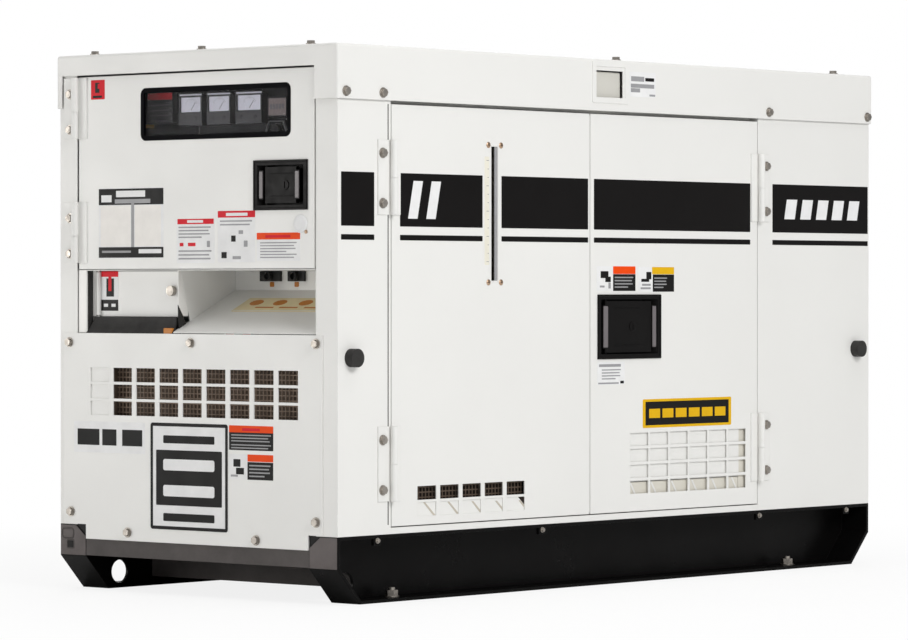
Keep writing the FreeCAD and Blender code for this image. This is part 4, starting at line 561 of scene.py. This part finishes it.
def livery(face, side_bodies):
    """The broad black band and the thin stripe below it, cut round the hinges and the gauge."""
    runs = {"corner_front": ("machine", (-771, -686)), "corner_rear": ("machine", (462, 777)),
            "door_rear": (side_bodies[1], (-84, 391))}
    if face == "right":
        runs["door_fore"] = (side_bodies[0], (-619, -398))
        runs["door_aft"] = (side_bodies[0], (-346, -101))
    else:
        runs["panel_front"] = ("machine", (-619, -101))
    for name, (body, (low, high)) in runs.items():
        mesh = bmesh.new()
        for foot, head in (BAND_LEVELS, STRIPE_LEVELS):
            slab(mesh, face, low, foot, high, head, -0.3, 0.25, 1.2, 0.08)
        if name in ("corner_rear", "door_fore", "panel_front"):
            start, stop, foot, head, count = (500, 758, 678, 716, 5) if name == "corner_rear" \
                else (-598, -502, 666, 732, 2)
            step = (stop - start) / count
            lean = (head - foot) * 0.22
            for n in range(count):
                left = start + n * step
                right = left + step * 0.82
                patch(mesh, face, [(left, foot), (right - lean, foot), (right, head),
                                   (left + lean, head)], 0.2, 0.36, 1)
        piece(f"livery_{face}_{name}", body, mesh, [band_black, paper])


def side_labels(face, body):
    """The four stickers round the latch, with bars in place of text."""
    pictogram = [(0.10, 0.52, 0.30, 0.80, INK), (0.22, 0.36, 0.36, 0.58, INK),
                 (0.30, 0.10, 0.36, 0.34, GREY), (0.08, 0.14, 0.2, 0.22, GREY)]
    label(f"label_upper_left_{face}", body, face, -76, 539.5, 38, 585,
          [(0.42, 0.0, 1.0, 0.68, INK), (0.42, 0.69, 1.0, 1.0, ORANGE)]
          + pictogram + lines(0.46, 0.1, 0.94, 0.62, 4))
    label(f"label_upper_right_{face}", body, face, 47, 538, 154, 584,
          [(0.4, 0.0, 1.0, 0.7, INK), (0.38, 0.71, 1.0, 1.0, AMBER),
           (0.22, 0.5, 0.36, 0.8, INK), (0.08, 0.4, 0.3, 0.52, INK),
           (0.06, 0.1, 0.34, 0.18, GREY), (0.1, 0.24, 0.34, 0.32, GREY)]
          + lines(0.44, 0.12, 0.8, 0.62, 4))
    label(f"label_lower_{face}", body, face, -74, 367, 6, 409,
          [(0.06, 0.78, 0.86, 0.9, GREY), (0.03, 0.03, 0.78, 0.1, GREY),
           (0.84, 0.04, 0.97, 0.16, INK)] + lines(0.16, 0.2, 0.86, 0.72, 4))
    label(f"label_yellow_{face}", body, face, 60, 284.5, 331, 338,
          [(0.03, 0.09, 0.97, 0.91, INK)]
          + [(0.07 + 0.148 * n, 0.34, 0.192 + 0.148 * n, 0.66, AMBER) for n in range(6)],
          AMBER, 3)


# ---- Fuel sight slot in the front door ----
def sight_gauge():
    mesh = bmesh.new()
    frame_ring(mesh, "right", -376.5, 555.5, -353.5, 799.5, 2.6, -2.5, 0.3, 1.4, 0.3)
    # The grey strip on the channel's wall is painted shade of the white paint deep in the slot.
    slab(mesh, "right", -362.5, 557, -353, 798, -3.4, -2.2, 1, 0.3, 1)
    fitted("gauge_channel", "right_front_door", mesh, "cover_paint", grey_ink)
    mesh = bmesh.new()
    slab(mesh, "right", -392.5, 586, -379.6, 779, -0.3, 0.3, 2, 0.08)
    for n in range(13):
        wide = 6.5 if n % 3 == 0 else 3.5
        slab(mesh, "right", -381 - wide, 591.3 + 15 * n, -381, 592.4 + 15 * n, 0.2, 0.36, 0.3,
             0.02, 1)
    piece("gauge_scale", "right_front_door", mesh, [cream, grey_ink])
    mesh = bmesh.new()
    for u in (-382, -347.5):
        for v in (799.5, 555):
            stud(mesh, "right", u, v, ((5.4, -0.3), (5.4, 0.6), (4.2, 1.5), (1.8, 1.9)))
            slab(mesh, "right", u - 3.2, v - 0.45, u + 3.2, v + 0.45, 1.4, 2.0, 0.3, 0.05, 1)
    piece("gauge_screws", "right_front_door", mesh, [brass, ink])
    mesh = bmesh.new()
    slab(mesh, "right", -372.5, 560, -362.5, 795, -46, -42, 2, 0.5)
    for n in range(3):
        v = 585 + 92 * n
        frame_ring(mesh, "right", -376, v - 5, -354, v + 5, 4, -42, -36, 3, 0.5)
    fitted("gauge_backing", "machine", mesh, "black_plastic")


# ---- Latches ----
def latch_details(tag, face, body, paddle, centre, wide, tall, grips):
    """A raised rim on the dish, a grip strip at each end in lighter grey as a painted highlight,
    and pressed lines on the paddle.
    """
    u, v = centre
    mesh = bmesh.new()
    frame_ring(mesh, face, u - wide / 2, v - tall / 2, u + wide / 2, v + tall / 2, 4.5, 1.6, 3.2,
               4, 0.9)
    for a in (-1, 1):
        for b in (-1, 1):
            stud(mesh, face, u + a * (wide / 2 - 2.3), v + b * (tall / 2 - 2.3),
                 ((1.5, 2.9), (1.5, 3.4), (0.9, 3.7)), 12)
    fitted(f"latch_rim_{tag}", body, mesh, "latch_plastic")
    on_paddle, on_dish, foot, head = grips

    def strip(start, stop):
        # The raised strip is lighter grey: a painted highlight where it slopes to the light.
        slab(mesh, face, start, v + foot, stop, v + head, 0.2, 2.2, 1.6, 0.7, 0)
        slab(mesh, face, start - 1.2, v + foot - 2, stop + 1.2, v + head + 2, -1.2, 1.0, 2, 0.3, 1)
    mesh = bmesh.new()
    strip(*on_dish)
    piece(f"dish_strip_{tag}", body, mesh, [grip_grey, finishes["latch_plastic"]])
    mesh = bmesh.new()
    strip(*on_paddle)
    for w in (v + foot + 4, v + head - 4):
        slab(mesh, face, u - wide * 0.22, w - 0.5, u + wide * 0.2, w + 0.5, 0.8, 1.5, 0.4, 0.15, 1)
    piece(f"paddle_grip_{tag}", paddle, mesh, [grip_grey, finishes["latch_plastic"]])


# ---- Control end ----
def control_window():
    mesh = bmesh.new()
    frame_ring(mesh, "end", 135, 807, -231, 901, 9, -1.0, 0.9, 12, 0.8)
    piece("window_gasket", "control_door", mesh, [gasket_black])


def dial(mesh, u, low, high):
    """A square meter's scale: an arc of ticks and a pointer from the lower edge."""
    foot = low + 4
    for n in range(11):
        angle = math.radians(140 - 10 * n)
        inner, outer = (15.5, 20) if n % 5 == 0 else (17.5, 20)
        c, s = math.cos(angle), math.sin(angle)
        wide = 0.3
        points = [(u + inner * c - wide * s, foot + inner * s + wide * c),
                  (u + inner * c + wide * s, foot + inner * s - wide * c),
                  (u + outer * c + wide * s, foot + outer * s - wide * c),
                  (u + outer * c - wide * s, foot + outer * s + wide * c)]
        patch(mesh, "meter", points, 0.2, 0.5, 3)
    c, s = math.cos(math.radians(128)), math.sin(math.radians(128))
    patch(mesh, "meter", [(u - 0.4 * s, foot + 0.4 * c), (u + 0.4 * s, foot - 0.4 * c),
                          (u + 17 * c + 0.2 * s, foot + 17 * s - 0.2 * c),
                          (u + 17 * c - 0.2 * s, foot + 17 * s + 0.2 * c)], 0.5, 0.9, 1)
    slab(mesh, "meter", u - 6, high - 5.5, u + 6, high - 4.3, 0.2, 0.5, 0.4, 0.03, 3)


METERS = ((68, 12), (-1, -58), (-71, -134))


def instruments():
    """Three meters, the indicator block, the hour counter and what is round them."""
    for n, (left, right) in enumerate(METERS):
        mesh = bmesh.new()
        slab(mesh, "meter", right + 1, 857, left + 1.5, 889, -1.5, 0.3, 1.5, 0.2, 0)
        dial(mesh, (left + right) / 2, 857, 888)
        frame_ring(mesh, "meter", right, 834, left + 2.5, 890, 1.2, -1, 1.6, 3, 0.4, 2)
        slab(mesh, "meter", right + 3, 836, left - 1, 855, -1, 2.2, 1.5, 0.6, 4)
        for k in range(2):
            stud(mesh, "meter", right + 15 + k * (left - right - 30), 845,
                 ((4.5, 2.0), (4.5, 2.8), (3.6, 3.2)), index=2)
        slab(mesh, "meter", right + 8, 852, left - 8, 853.6, 2.0, 2.5, 0.4, 0.1, 3)
        piece(f"meter_dial_{n + 1}", "machine", mesh,
              [dial_white, ink, finishes["meter_plastic"], grey_ink, meter_grey])
    mesh = bmesh.new()
    frame_ring(mesh, "panel", 87, 838, 151, 894, 1.4, 0, 13.2, 2, 0.5, 0)
    slab(mesh, "panel", 89, 881, 149, 893, 0, 13.4, 1, 0.3, 1)
    for n in range(4):
        v = 843 + 9.4 * n
        slab(mesh, "panel", 96, v, 142, v + 0.9, 12, 12.6, 0.4, 0.1, 2)
        slab(mesh, "panel", 103, v + 3, 142, v + 6.4, 12, 12.5, 0.6, 0.1, 0)
        stud(mesh, "panel", 93, v + 4, ((1.8, 11), (1.8, 13), (1.0, 13.6)), 12, 2)
    fitted("indicator_face", "machine", mesh, "meter_plastic", red_ink, meter_grey)
    mesh = bmesh.new()
    frame_ring(mesh, "panel", -189, 844, -143, 878, 2.0, 0, 11, 2, 0.6, 0)
    slab(mesh, "panel", -187, 846, -145, 876, 0, 10.2, 1.5, 0.3, 1)
    for n in range(5):
        slab(mesh, "panel", -182 + 7 * n, 857, -177 + 7 * n, 866, 10, 10.7, 0.5, 0.1, 2)
    fitted("hour_counter", "machine", mesh, "meter_plastic", counter_brown, meter_grey)
    mesh = bmesh.new()
    outer = [(-184, 812), (-130, 812), (-139, 837), (-175, 837)]
    inner = [(-182, 813.5), (-132, 813.5), (-140.5, 835.5), (-173.5, 835.5)]
    loft(mesh, "panel", [(outer, 0), (outer, 4), (inner, 5), (inner, 2)], 1, closed=True)
    stud(mesh, "panel", -157, 823, ((7, 0), (7, 7), (5.5, 8)))
    slab(mesh, "panel", 146, 832, 166, 838, 0, 1.2, 1, 0.2, 2)
    slab(mesh, "panel", 32, 800, 33.2, 833, 0, 1.0, 0.4, 0.2, 3)
    for n, u in enumerate((-120, -60, 0, 60, 120)):
        slab(mesh, "panel", u - 22, 812, u + 22, 813.6, 0, 1.0, 0.6, 0.2, 3)
    fitted("panel_fittings", "machine", mesh, "meter_plastic", grey_ink, amber_ink, meter_grey)


def control_door_labels():
    label("plate_rating", "control_door", "end", 241, 598, 78, 724,
          [(0.0, 0.76, 1.0, 0.99, INK), (0.25, 0.78, 0.8, 0.84, GREY),
           (0.27, 0.87, 0.72, 0.96, PAPER),
           (0.0, 0.01, 1.0, 0.16, INK), (0.62, 0.07, 0.97, 0.13, PAPER),
           (0.05, 0.08, 0.5, 0.11, GREY), (0.04, 0.8, 0.2, 0.9, PAPER),
           (0.505, 0.16, 0.55, 0.8, GREY), (0.03, 0.17, 0.495, 0.75, WARM),
           (0.56, 0.17, 0.96, 0.75, WARM)], PAPER, 1)
    label("label_end_1", "control_door", "end", 45, 589, -48, 667,
          [(0.02, 0.88, 0.98, 1.0, RED), (0.28, 0.91, 0.7, 0.97, PAPER),
           (0.08, 0.38, 0.18, 0.46, RED), (0.3, 0.38, 0.5, 0.46, RED),
           (0.8, 0.36, 0.88, 0.5, GREY)] + lines(0.05, 0.55, 0.9, 0.85, 4)
          + lines(0.05, 0.06, 0.92, 0.32, 3))
    label("label_end_2", "control_door", "end", -56, 590, -146, 680,
          [(0.0, 0.87, 1.0, 1.0, RED), (0.22, 0.9, 0.8, 0.96, PAPER),
           (0.56, 0.55, 0.68, 0.62, GREY), (0.36, 0.4, 0.48, 0.52, INK),
           (0.7, 0.3, 0.8, 0.42, GREY), (0.1, 0.08, 0.24, 0.2, INK),
           (0.4, 0.06, 0.62, 0.12, GREY)] + lines(0.06, 0.7, 0.92, 0.84, 2))
    label("label_end_3", "control_door", "end", -150, 592, -253, 641,
          [(0.0, 0.76, 1.0, 1.0, ORANGE), (0.2, 0.82, 0.78, 0.92, RED)]
          + lines(0.08, 0.08, 0.92, 0.7, 6))
    label("label_corner", "control_door", "end", 261, 884, 226, 919,
          [(0.3, 0.34, 0.62, 0.86, INK), (0.14, 0.08, 0.8, 0.2, INK), (0.5, 0.55, 0.62, 0.8, RED)],
          RED, 1)
    mesh = bmesh.new()
    stud(mesh, "end", -254, 656, ((16, -0.3), (16, 1.2), (13.5, 3.4), (9, 4.2), (4, 3.8)))
    piece("door_plug", "control_door", mesh, [paper])
    mesh = bmesh.new()
    stud(mesh, "end", -267, 642, ((3.4, -0.3), (3.4, 1.0), (2.0, 1.8)))
    piece("door_screw", "control_door", mesh, [brass])


def vent_panel_labels():
    mesh = bmesh.new()
    slab(mesh, "vent", -82, 117, 108, 306, -0.3, 0.6, 5, 0.3, 0)
    frame_ring(mesh, "vent", -82, 117, 108, 306, 6, 0.3, 1.1, 5, 0.3, 1)
    slab(mesh, "vent", -68, 258, 94, 296, 0.4, 0.85, 2, 0.1, 0)
    slab(mesh, "vent", -68, 160, 94, 258, 0.4, 0.9, 2, 0.1, 1)
    for low in (176, 222):
        slab(mesh, "vent", -50, low, 76, low + 20, 0.8, 1.15, 4, 0.1, 0)
    slab(mesh, "vent", -50, 270, 76, 284, 0.8, 1.1, 2, 0.1, 1)
    slab(mesh, "vent", -50, 132, 76, 146, 0.8, 1.1, 2, 0.1, 1)
    piece("badge_blank", "machine", mesh, [paper, ink, grey_ink])
    label("label_blank", "machine", "vent", 303, 249, 122, 305,
          [(0.05, 0.24, 0.36, 0.76, INK), (0.4, 0.24, 0.6, 0.76, INK),
           (0.68, 0.24, 0.96, 0.76, INK)])
    label("label_vent_upper", "machine", "vent", -85, 262, -191, 305,
          [(0.0, 0.72, 1.0, 1.0, ORANGE), (0.3, 0.78, 0.7, 0.9, RED)]
          + lines(0.05, 0.32, 0.95, 0.68, 3) + lines(0.05, 0.04, 0.95, 0.28, 2), INK)
    label("label_vent_lower", "machine", "vent", -85, 211, -191, 255,
          [(0.42, 0.72, 1.0, 1.0, ORANGE), (0.42, 0.0, 1.0, 0.7, INK), (0.1, 0.5, 0.26, 0.8, INK),
           (0.16, 0.2, 0.34, 0.46, INK), (0.04, 0.1, 0.2, 0.18, GREY)]
          + lines(0.46, 0.08, 0.94, 0.64, 4))


def cable_bay():
    """The rubber flap, linings in white paint made lighter as painted light, and printed strip
    below the control door.
    """
    label("label_terminal", "terminal_cover", "cover", 255, 504, 212, 575,
          [(0.0, 0.86, 1.0, 1.0, RED), (0.3, 0.36, 0.75, 0.82, INK),
           (0.42, 0.5, 0.6, 0.86, RED), (0.0, 0.0, 1.0, 0.28, INK),
           (0.15, 0.1, 0.4, 0.18, PAPER), (0.6, 0.1, 0.85, 0.18, PAPER)])
    mesh = bmesh.new()
    patch(mesh, "fin", [(-768, 515), (-757, 498), (-744, 474), (-750, 465), (-764, 465),
                        (-767, 488)], 0.3, 1.6)
    fitted("flap_gusset", "machine", mesh, "rubber")
    mesh = bmesh.new()
    skin = [(-766, 493.4), (-769, 493.4), (-770.5, 484), (-774, 473), (-779, 465.5), (-779, 463.6),
            (-775.5, 463.6), (-771, 471), (-767.5, 482)]
    loft(mesh, "flap", [(skin, y) for y in (57, 100, 150, 200, 250, 262)])
    fitted("flap_skin", "machine", mesh, "rubber")
    mesh = bmesh.new()
    slab(mesh, "end", 79, 463.8, 58, 474, -8, -0.3, 2, 0.6, 0)
    piece("cable_mark", "machine", mesh, [amber_brown])
    mesh = bmesh.new()
    slab(mesh, "ramp", -12, 84, -284, 140, 0, 0.5, 3, 0.1, 0)
    for u in (-45, -102, -164, -224):
        loft(mesh, "ramp", [([(u + 15 * a, 120 + 11 * b) for a, b in ring(0, 0, 1, 24)], lift)
                            for lift in (0.4, 0.8)], 1)
    for u in (-78, -136, -196):
        slab(mesh, "ramp", u - 24, 98, u + 20, 103, 0.4, 0.7, 0.5, 0.05, 1)
    slab(mesh, "ramp", -14, 86, -282, 90, 0.4, 0.65, 0.5, 0.05, 2)
    piece("outlet_strip", "machine", mesh, [strip_yellow, amber_brown, cream])
    mesh = bmesh.new()
    for u in (-36, -96):
        slab(mesh, "back", u - 5, 547, u + 5, 556, 0, 1.2, 2, 0.3, 0)
    piece("outlet_marks", "machine", mesh, [amber_brown])
    mesh = bmesh.new()
    slab(mesh, "jamb", -776, 466, -763, 576, -0.5, 2.6, 1.5, 0.5, 0)
    fitted("bay_seal", "machine", mesh, "rubber")
    # The linings are lighter than the cover paint: painted light in the bay.
    mesh = bmesh.new()
    slab(mesh, "end", 296, 464.5, 275, 578, -4.5, -2.5, 1.5, 0.4)
    slab(mesh, "cover", 274, 494, 264.6, 576, 1, 4, 1, 0.4)
    slab(mesh, "fin", -766, 495, -742, 577, -1.2, 0.4, 1, 0.3)
    piece("bay_liners", "machine", mesh, [liner_painted_light_white])


def air_screen():
    """The woven screen behind the outlets, on a dark backing sheet of painted shade, and the white
    baffle in their first column, edged by a dark wall of painted shade.
    """
    mesh = bmesh.new()
    slab(mesh, "end", 292, 300, 214, 420, -2, -0.2, 2, 0.4)
    # A dark wall beside the baffle: painted shade.
    slab(mesh, "end", 214, 300, 212, 420, -30, -0.2, 0.6, 0.2, 1)
    fitted("outlet_baffle", "machine", mesh, "cover_paint", dark_mesh_and_painted_shade)
    mesh = bmesh.new()
    # A dark backing sheet behind the wires: painted shade.
    slab(mesh, "end", 211, 300, -296, 416, -25, -23, 2, 0.4, 1)
    for n in range(57):
        u = 207 - 8.9 * n
        slab(mesh, "end", u - 1.1, 300, u + 1.1, 416, -19, -17, 0.6, 0.4, 0)
    for n in range(13):
        v = 304 + 9 * n
        slab(mesh, "end", 210, v - 1.1, -295, v + 1.1, -17.6, -16, 0.6, 0.4, 0)
    piece("outlet_screen", "machine", mesh, [mesh_brown, dark_mesh_and_painted_shade])


def rail_ends():
    """Cap plates on the rail ends, in black paint lightened as painted sheen for the end light's
    reflection; the left one has a pressed recess and a square hole drawn as a black plate of
    painted shade, and black plates behind both clipped corners are painted shade.
    """
    for tag, sign in (("left", 1), ("right", -1)):
        mesh = bmesh.new()
        outer = [(275, 62.5), (339, 62.5), (339, 116.5), (300, 116.5), (275, 97)]
        inner = [(276, 63.5), (338, 63.5), (338, 115.5), (300.4, 115.5), (276, 96.5)]
        loft(mesh, "end", [([(sign * u, v) for u, v in points], lift)
                           for points, lift in ((outer, -0.4), (outer, 0.6), (inner, 1.0))])
        # A black plate behind the clipped corner: painted shade.
        patch(mesh, "end", [(sign * 273, 95), (sign * 273, 119.5), (sign * 301, 119.5)], -1.6,
              -0.8, 2)
        if sign > 0:
            frame_ring(mesh, "end", 304, 91, 336, 112, 2.4, 0.8, 2.2, 8, 0.6, 1)
            slab(mesh, "end", 307, 94, 333, 109, 0.8, 1.3, 6, 0.3, 0)
            # The square hole is a black plate: painted shade.
            slab(mesh, "end", 306, 76, 321, 88, 0.8, 1.3, 1, 0.2, 2)
            frame_ring(mesh, "end", 304, 74, 323, 90, 1.6, 0.8, 1.8, 1.6, 0.3, 1)
        piece(f"rail_cap_{tag}", "machine", mesh, [cap_grey, painted_sheen_black, ink])


# ---- Roof window plates ----
def roof_plates():
    for face in ("right", "left"):
        mesh = bmesh.new()
        frame_ring(mesh, face, -95, 884, 11, 962, 11, 4.9, 6.6, 3, 0.6)
        fitted(f"lift_window_frame_{face}", "machine", mesh, "cover_paint")
        label(f"label_roof_{face}", "machine", face, 14, 899, 92, 945,
              [(0.06, 0.62, 0.56, 0.82, GREY), (0.6, 0.64, 0.94, 0.78, INK),
               (0.05, 0.36, 0.94, 0.52, GREY), (0.05, 0.18, 0.4, 0.34, GREY),
               (0.76, 0.04, 0.98, 0.12, GREY)], PAPER, 1.5, 5.25)


# ---- Door linings, rear end and engine room ----
def door_inside(tag, face, body, low, high, level, free, sheet=None):
    """A seal along three edges of the inner skin, a pressed rib and a blank chart."""
    mesh = bmesh.new()
    for foot in (133.5, 854):
        slab(mesh, face, low + 4, foot, high - 4, foot + 6, -0.2, 7, 2, 1.5)
    slab(mesh, face, free - 3, 141, free + 3, 852.5, -0.2, 7, 2, 1.5)
    fitted(f"door_seal_{tag}", body, mesh, "rubber")
    mesh = bmesh.new()
    slab(mesh, face, low + 34, level, high - 34, level + 30, -0.2, 8, 6, 5)
    slab(mesh, face, low + 44, level + 11, high - 44, level + 19, 7.5, 9, 4, 1)
    fitted(f"door_rib_{tag}", body, mesh, "cover_paint")
    if sheet:
        label(f"door_chart_{tag}", body, face, *sheet,
              lines(0.06, 0.55, 0.94, 0.94, 6) + [(0.06, 0.08, 0.44, 0.48, GREY),
                                                  (0.09, 0.11, 0.41, 0.45, PAPER),
                                                  (0.54, 0.08, 0.94, 0.48, INK),
                                                  (0.57, 0.11, 0.91, 0.45, PAPER)])


def inlet_details():
    """The pale deflector with slanting beige strips of painted shade for its folds, and the screen
    above it with a dark backing sheet of painted shade, in the front inlet.
    """
    mesh = bmesh.new()
    slab(mesh, "right", -588, 141, -264, 172, -3.6, -2.1, 2, 0.3, 0)
    # Slanting beige strips: painted shade of the folds.
    for n in range(5):
        left, head = -556 + 65 * n, 170 - 1.6 * n
        patch(mesh, "right", [(left, head), (left + 5, head), (left + 33, head - 24),
                              (left + 27, head - 24)], -2.3, -1.7, 1)
    # A dark triangle: painted shade at the deflector's end.
    patch(mesh, "right", [(-300, 172), (-264, 172), (-264, 142)], -2.3, -1.5, 2)
    fitted("deflector_fold_shade", "right_front_door", mesh, "cover_paint", painted_fold_shade, painted_shade_backing)
    mesh = bmesh.new()
    # A near-black backing sheet behind the wires: painted shade.
    slab(mesh, "right", -588, 173, -264, 210, -21, -20, 2, 0.2, 1)
    for n in range(36):
        slab(mesh, "right", -584 + 9 * n, 173, -582 + 9 * n, 210, -13, -11.5, 0.4, 0.3, 0)
    for n in range(4):
        slab(mesh, "right", -588, 177 + 9 * n, -264, 179 + 9 * n, -11.6, -10.2, 0.4, 0.3, 0)
    piece("inlet_screen", "right_front_door", mesh, [dark_mesh_and_painted_shade, painted_shade_backing])
    for face, body in (("right", "right_rear_door"), ("left", "left_door")):
        mesh = bmesh.new()
        slab(mesh, face, 9, 186, 360, 289, -5.2, -4, 2, 0.3, 0)
        # The lower row and last column sit deeper, in beige: painted shade.
        slab(mesh, face, 9, 151, 360, 185, -7.5, -6.3, 2, 0.3, 1)
        slab(mesh, face, 361, 151, 394, 289, -7.5, -6.3, 2, 0.3, 1)
        for n in range(6):
            left = 28 + 62 * n
            patch(mesh, face, [(left, 184), (left + 5, 184), (left + 26, 152), (left + 21, 152)],
                  -6.4, -5.8, 0)
        fitted(f"inlet_plate_{face}", body, mesh, "cover_paint", painted_shade_beige)
    mesh = bmesh.new()
    slab(mesh, "right", -651.2, 134, -649, 864, -3, 0.25, 0.5, 0.1)
    piece("door_gap_seal", "machine", mesh, [band_black])
    mesh = bmesh.new()
    slab(mesh, "end", -292, 582, -286.6, 924, -5, -3, 0.5, 0.2)
    slab(mesh, "right", -97.4, 134, -94.6, 862, -4, -1.2, 0.5, 0.2)
    fitted("gap_strips", "machine", mesh, "cover_paint")


def rear_end():
    """Radiator fins and cap, and the rear stickers."""
    mesh = bmesh.new()
    for n in range(48):
        v = 234 + 10 * n
        slab(mesh, "core", -232, v, 232, v + 1.4, -0.5, 4, 0.5, 0.3)
    for n in range(24):
        u = -230 + 20 * n
        slab(mesh, "core", u - 1.5, 232, u + 1.5, 708, -0.5, 3, 1, 0.8)
    piece("radiator_fins", "machine", mesh, [fin_grey])
    for tag, left, head, bar in (("hot", 200, ORANGE, INK), ("fan", -290, RED, PAPER)):
        label(f"label_rear_{tag}", "machine", "rear", left, 760, left + 90, 812,
              [(0.0, 0.74, 1.0, 1.0, head), (0.24, 0.8, 0.76, 0.93, bar)]
              + lines(0.4, 0.08, 0.94, 0.68, 5) + [(0.06, 0.14, 0.32, 0.62, INK)])
    mesh = bmesh.new()
    band(mesh, (530, -150, 787), UP, 12, 6, 12)
    for sign in (1, -1):
        slab(mesh, "tray", 524, -150 + sign * 20, 536, -150 + sign * 32, 487, 490, 3, 0.6)
    fitted("radiator_cap", "machine", mesh, "plated_steel")


def fan_guard():
    """Concentric wires on eight spokes, hooked to the shroud's ring."""
    guard_x, hook_x, fan_axis_z = 408, 421, 470

    def around(x, reach, angle):
        return Vector((x, reach * math.cos(angle), fan_axis_z + reach * math.sin(angle)))
    mesh = bmesh.new()
    for reach in (62, 90, 118, 146, 174, 200):
        tube(mesh, [around(guard_x, reach, 2 * math.pi * k / 48) for k in range(49)], 1.5, 6)
    for k in range(8):
        angle = math.pi * (k + 0.5) / 4
        tube(mesh, [around(guard_x, 60, angle), around(guard_x, 202, angle),
                    around(hook_x, 202, angle)], 2, 6)
    fitted("fan_guard", "machine", mesh, "plated_steel")


def engine_room():
    """Clamps, leads, fuel lines, dipstick, plate and tank straps."""
    mesh = bmesh.new()
    for centre, axis, radius in (((310, -84, 575), UP, 19.5), ((488, -84, 735), ALONG, 19.5),
                                 ((362, -95, 240), ALONG, 19.5), ((488, -175, 205), ALONG, 19.5),
                                 ((-32, -70, 745), ALONG, 20.5)):
        band(mesh, centre, axis, radius, 12, 1.4)
        band(mesh, centre, axis, radius + 0.8, 3, 2.2)
    fitted("hose_clamps", "machine", mesh, "plated_steel")
    mesh = bmesh.new()
    for x in (-395, -225):
        band(mesh, (x, -245, 309), UP, 8.2, 11, 6, 2)
        slab(mesh, "tray", x - 6, -238, x + 6, -214, 5, 15, 3, 1, 2)
    tube(mesh, curve([(-395, -218, 309), (-430, -205, 318), (-462, -205, 280), (-478, -205, 190),
                      (-480, -210, 119)]), 6.5, 12, 1)
    tube(mesh, curve([(-225, -218, 309), (-196, -205, 322), (-160, -196, 300), (-128, -188, 262),
                      (-104, -176, 240)]), 6.5, 12, 0)
    fitted("battery_leads", "machine", mesh, "rubber", red_ink, finishes["plated_steel"])
    mesh = bmesh.new()
    for n in range(6):
        stud(mesh, "tray", -386 + 30.5 * n, -192, ((10, -0.3), (10, 3), (8.5, 4.2)))
    slab(mesh, "tray", -318, -272, -302, -163, 0, 3.5, 2, 0.6, 1)
    for y in (-270, -165):
        tube(mesh, [Vector((-310, y, 120)), Vector((-310, y, 312))], 3, 10, 1)
        band(mesh, (-310, y, 305), UP, 2.8, 5, 3.4, 1)
    slab(mesh, "tray", -404, -232, -330, -210, -0.2, 0.4, 2, 0.1, 2)
    fitted("battery_fittings", "machine", mesh, "black_plastic", finishes["plated_steel"],
           amber_ink)
    mesh = bmesh.new()
    for x in (20, 132, 244):
        tube(mesh, curve([(x, 84, 556), (x, 86, 588), (x + 14, 112, 606), (x + 26, 142, 590),
                          (x + 26, 146, 556)]), 3.2, 8)
        band(mesh, (x, 84, 562), UP, 3, 9, 4)
        band(mesh, (x + 26, 146, 562), UP, 3, 9, 4)
    fitted("fuel_lines", "machine", mesh, "plated_steel")
    mesh = bmesh.new()
    tube(mesh, curve([(335, -118, 380), (338, -132, 470), (338, -142, 560), (338, -142, 600)]),
         4, 10)
    band(mesh, (338, -142, 604), UP, 0.5, 12, 7, 1)
    tube(mesh, curve([(338, -142, 608), (338, -154, 622), (338, -142, 636), (338, -130, 622),
                      (338, -142, 608)]), 2.4, 8, 1)
    fitted("dipstick", "machine", mesh, "plated_steel", amber_ink)
    mesh = bmesh.new()
    for n in range(4):
        y = 96 + 42 * n
        tube(mesh, curve([(-621, y, 524), (-600, y, 520), (-582, 0.55 * y + 10, 486),
                          (-568, 0.5 * y, 450), (-556, 0.5 * y, 425)]), 7, 12, n % 2)
    fitted("power_leads", "machine", mesh, "rubber", red_ink)
    mesh = bmesh.new()
    slab(mesh, "inside_right", -420, 360, -330, 410, 158, 160.5, 2, 0.3)
    fitted("generator_plate", "machine", mesh, "plated_steel")
    mesh = bmesh.new()
    for x in (-480, -200):
        tube(mesh, [Vector((x, -287, 543)), Vector((x, -287, 802)), Vector((x, 202, 802)),
                    Vector((x, 202, 543))], 5, 8)
    fitted("tank_straps", "machine", mesh, "plated_steel")


# ---- The scene ----
def lay_floor():
    """A plain round floor, not part of the object."""
    mesh = bmesh.new()
    rows = [[mesh.verts.new((r * math.cos(a), r * math.sin(a), 0)) for a in angles(64)]
            for r in (1.5, 5, 15, 60)]
    mesh.faces.new(rows[0])
    for lower, upper in zip(rows, rows[1:]):
        for k in range(64):
            mesh.faces.new((lower[k], upper[k], upper[(k + 1) % 64], lower[(k + 1) % 64]))
    data = bpy.data.meshes.new("floor")
    mesh.to_mesh(data)
    mesh.free()
    data.materials.append(floor_finish())
    linked("floor", data)


set_camera()
set_studio()
lay_floor()
livery("right", ("right_front_door", "right_rear_door"))
livery("left", (None, "left_door"))
side_labels("right", "right_rear_door")
side_labels("left", "left_door")
sight_gauge()
for side, door in (("right", "right_rear_door"), ("left", "left_door")):
    latch_details(side, side, door, side + "_paddle", (19.5, 473.5), 187, 119,
                  ((-57.5, -44.5), (87.5, 98), -38, 38))
latch_details("control", "end", "control_door", "control_paddle", (-207, 723.5), 128, 87,
              ((-251, -242), (-165, -157), -23, 24))
control_window()
instruments()
control_door_labels()
vent_panel_labels()
cable_bay()
air_screen()
rail_ends()
roof_plates()
door_inside("front", "inside_right", "right_front_door", -646, -102, 400, -107)
for tag, face, body in (("rear", "inside_right", "right_rear_door"),
                        ("left", "inside_left", "left_door")):
    door_inside(tag, face, body, -90, 388, 600, -85, (70, 660, 250, 800))
inlet_details()
rear_end()
fan_guard()
engine_room()
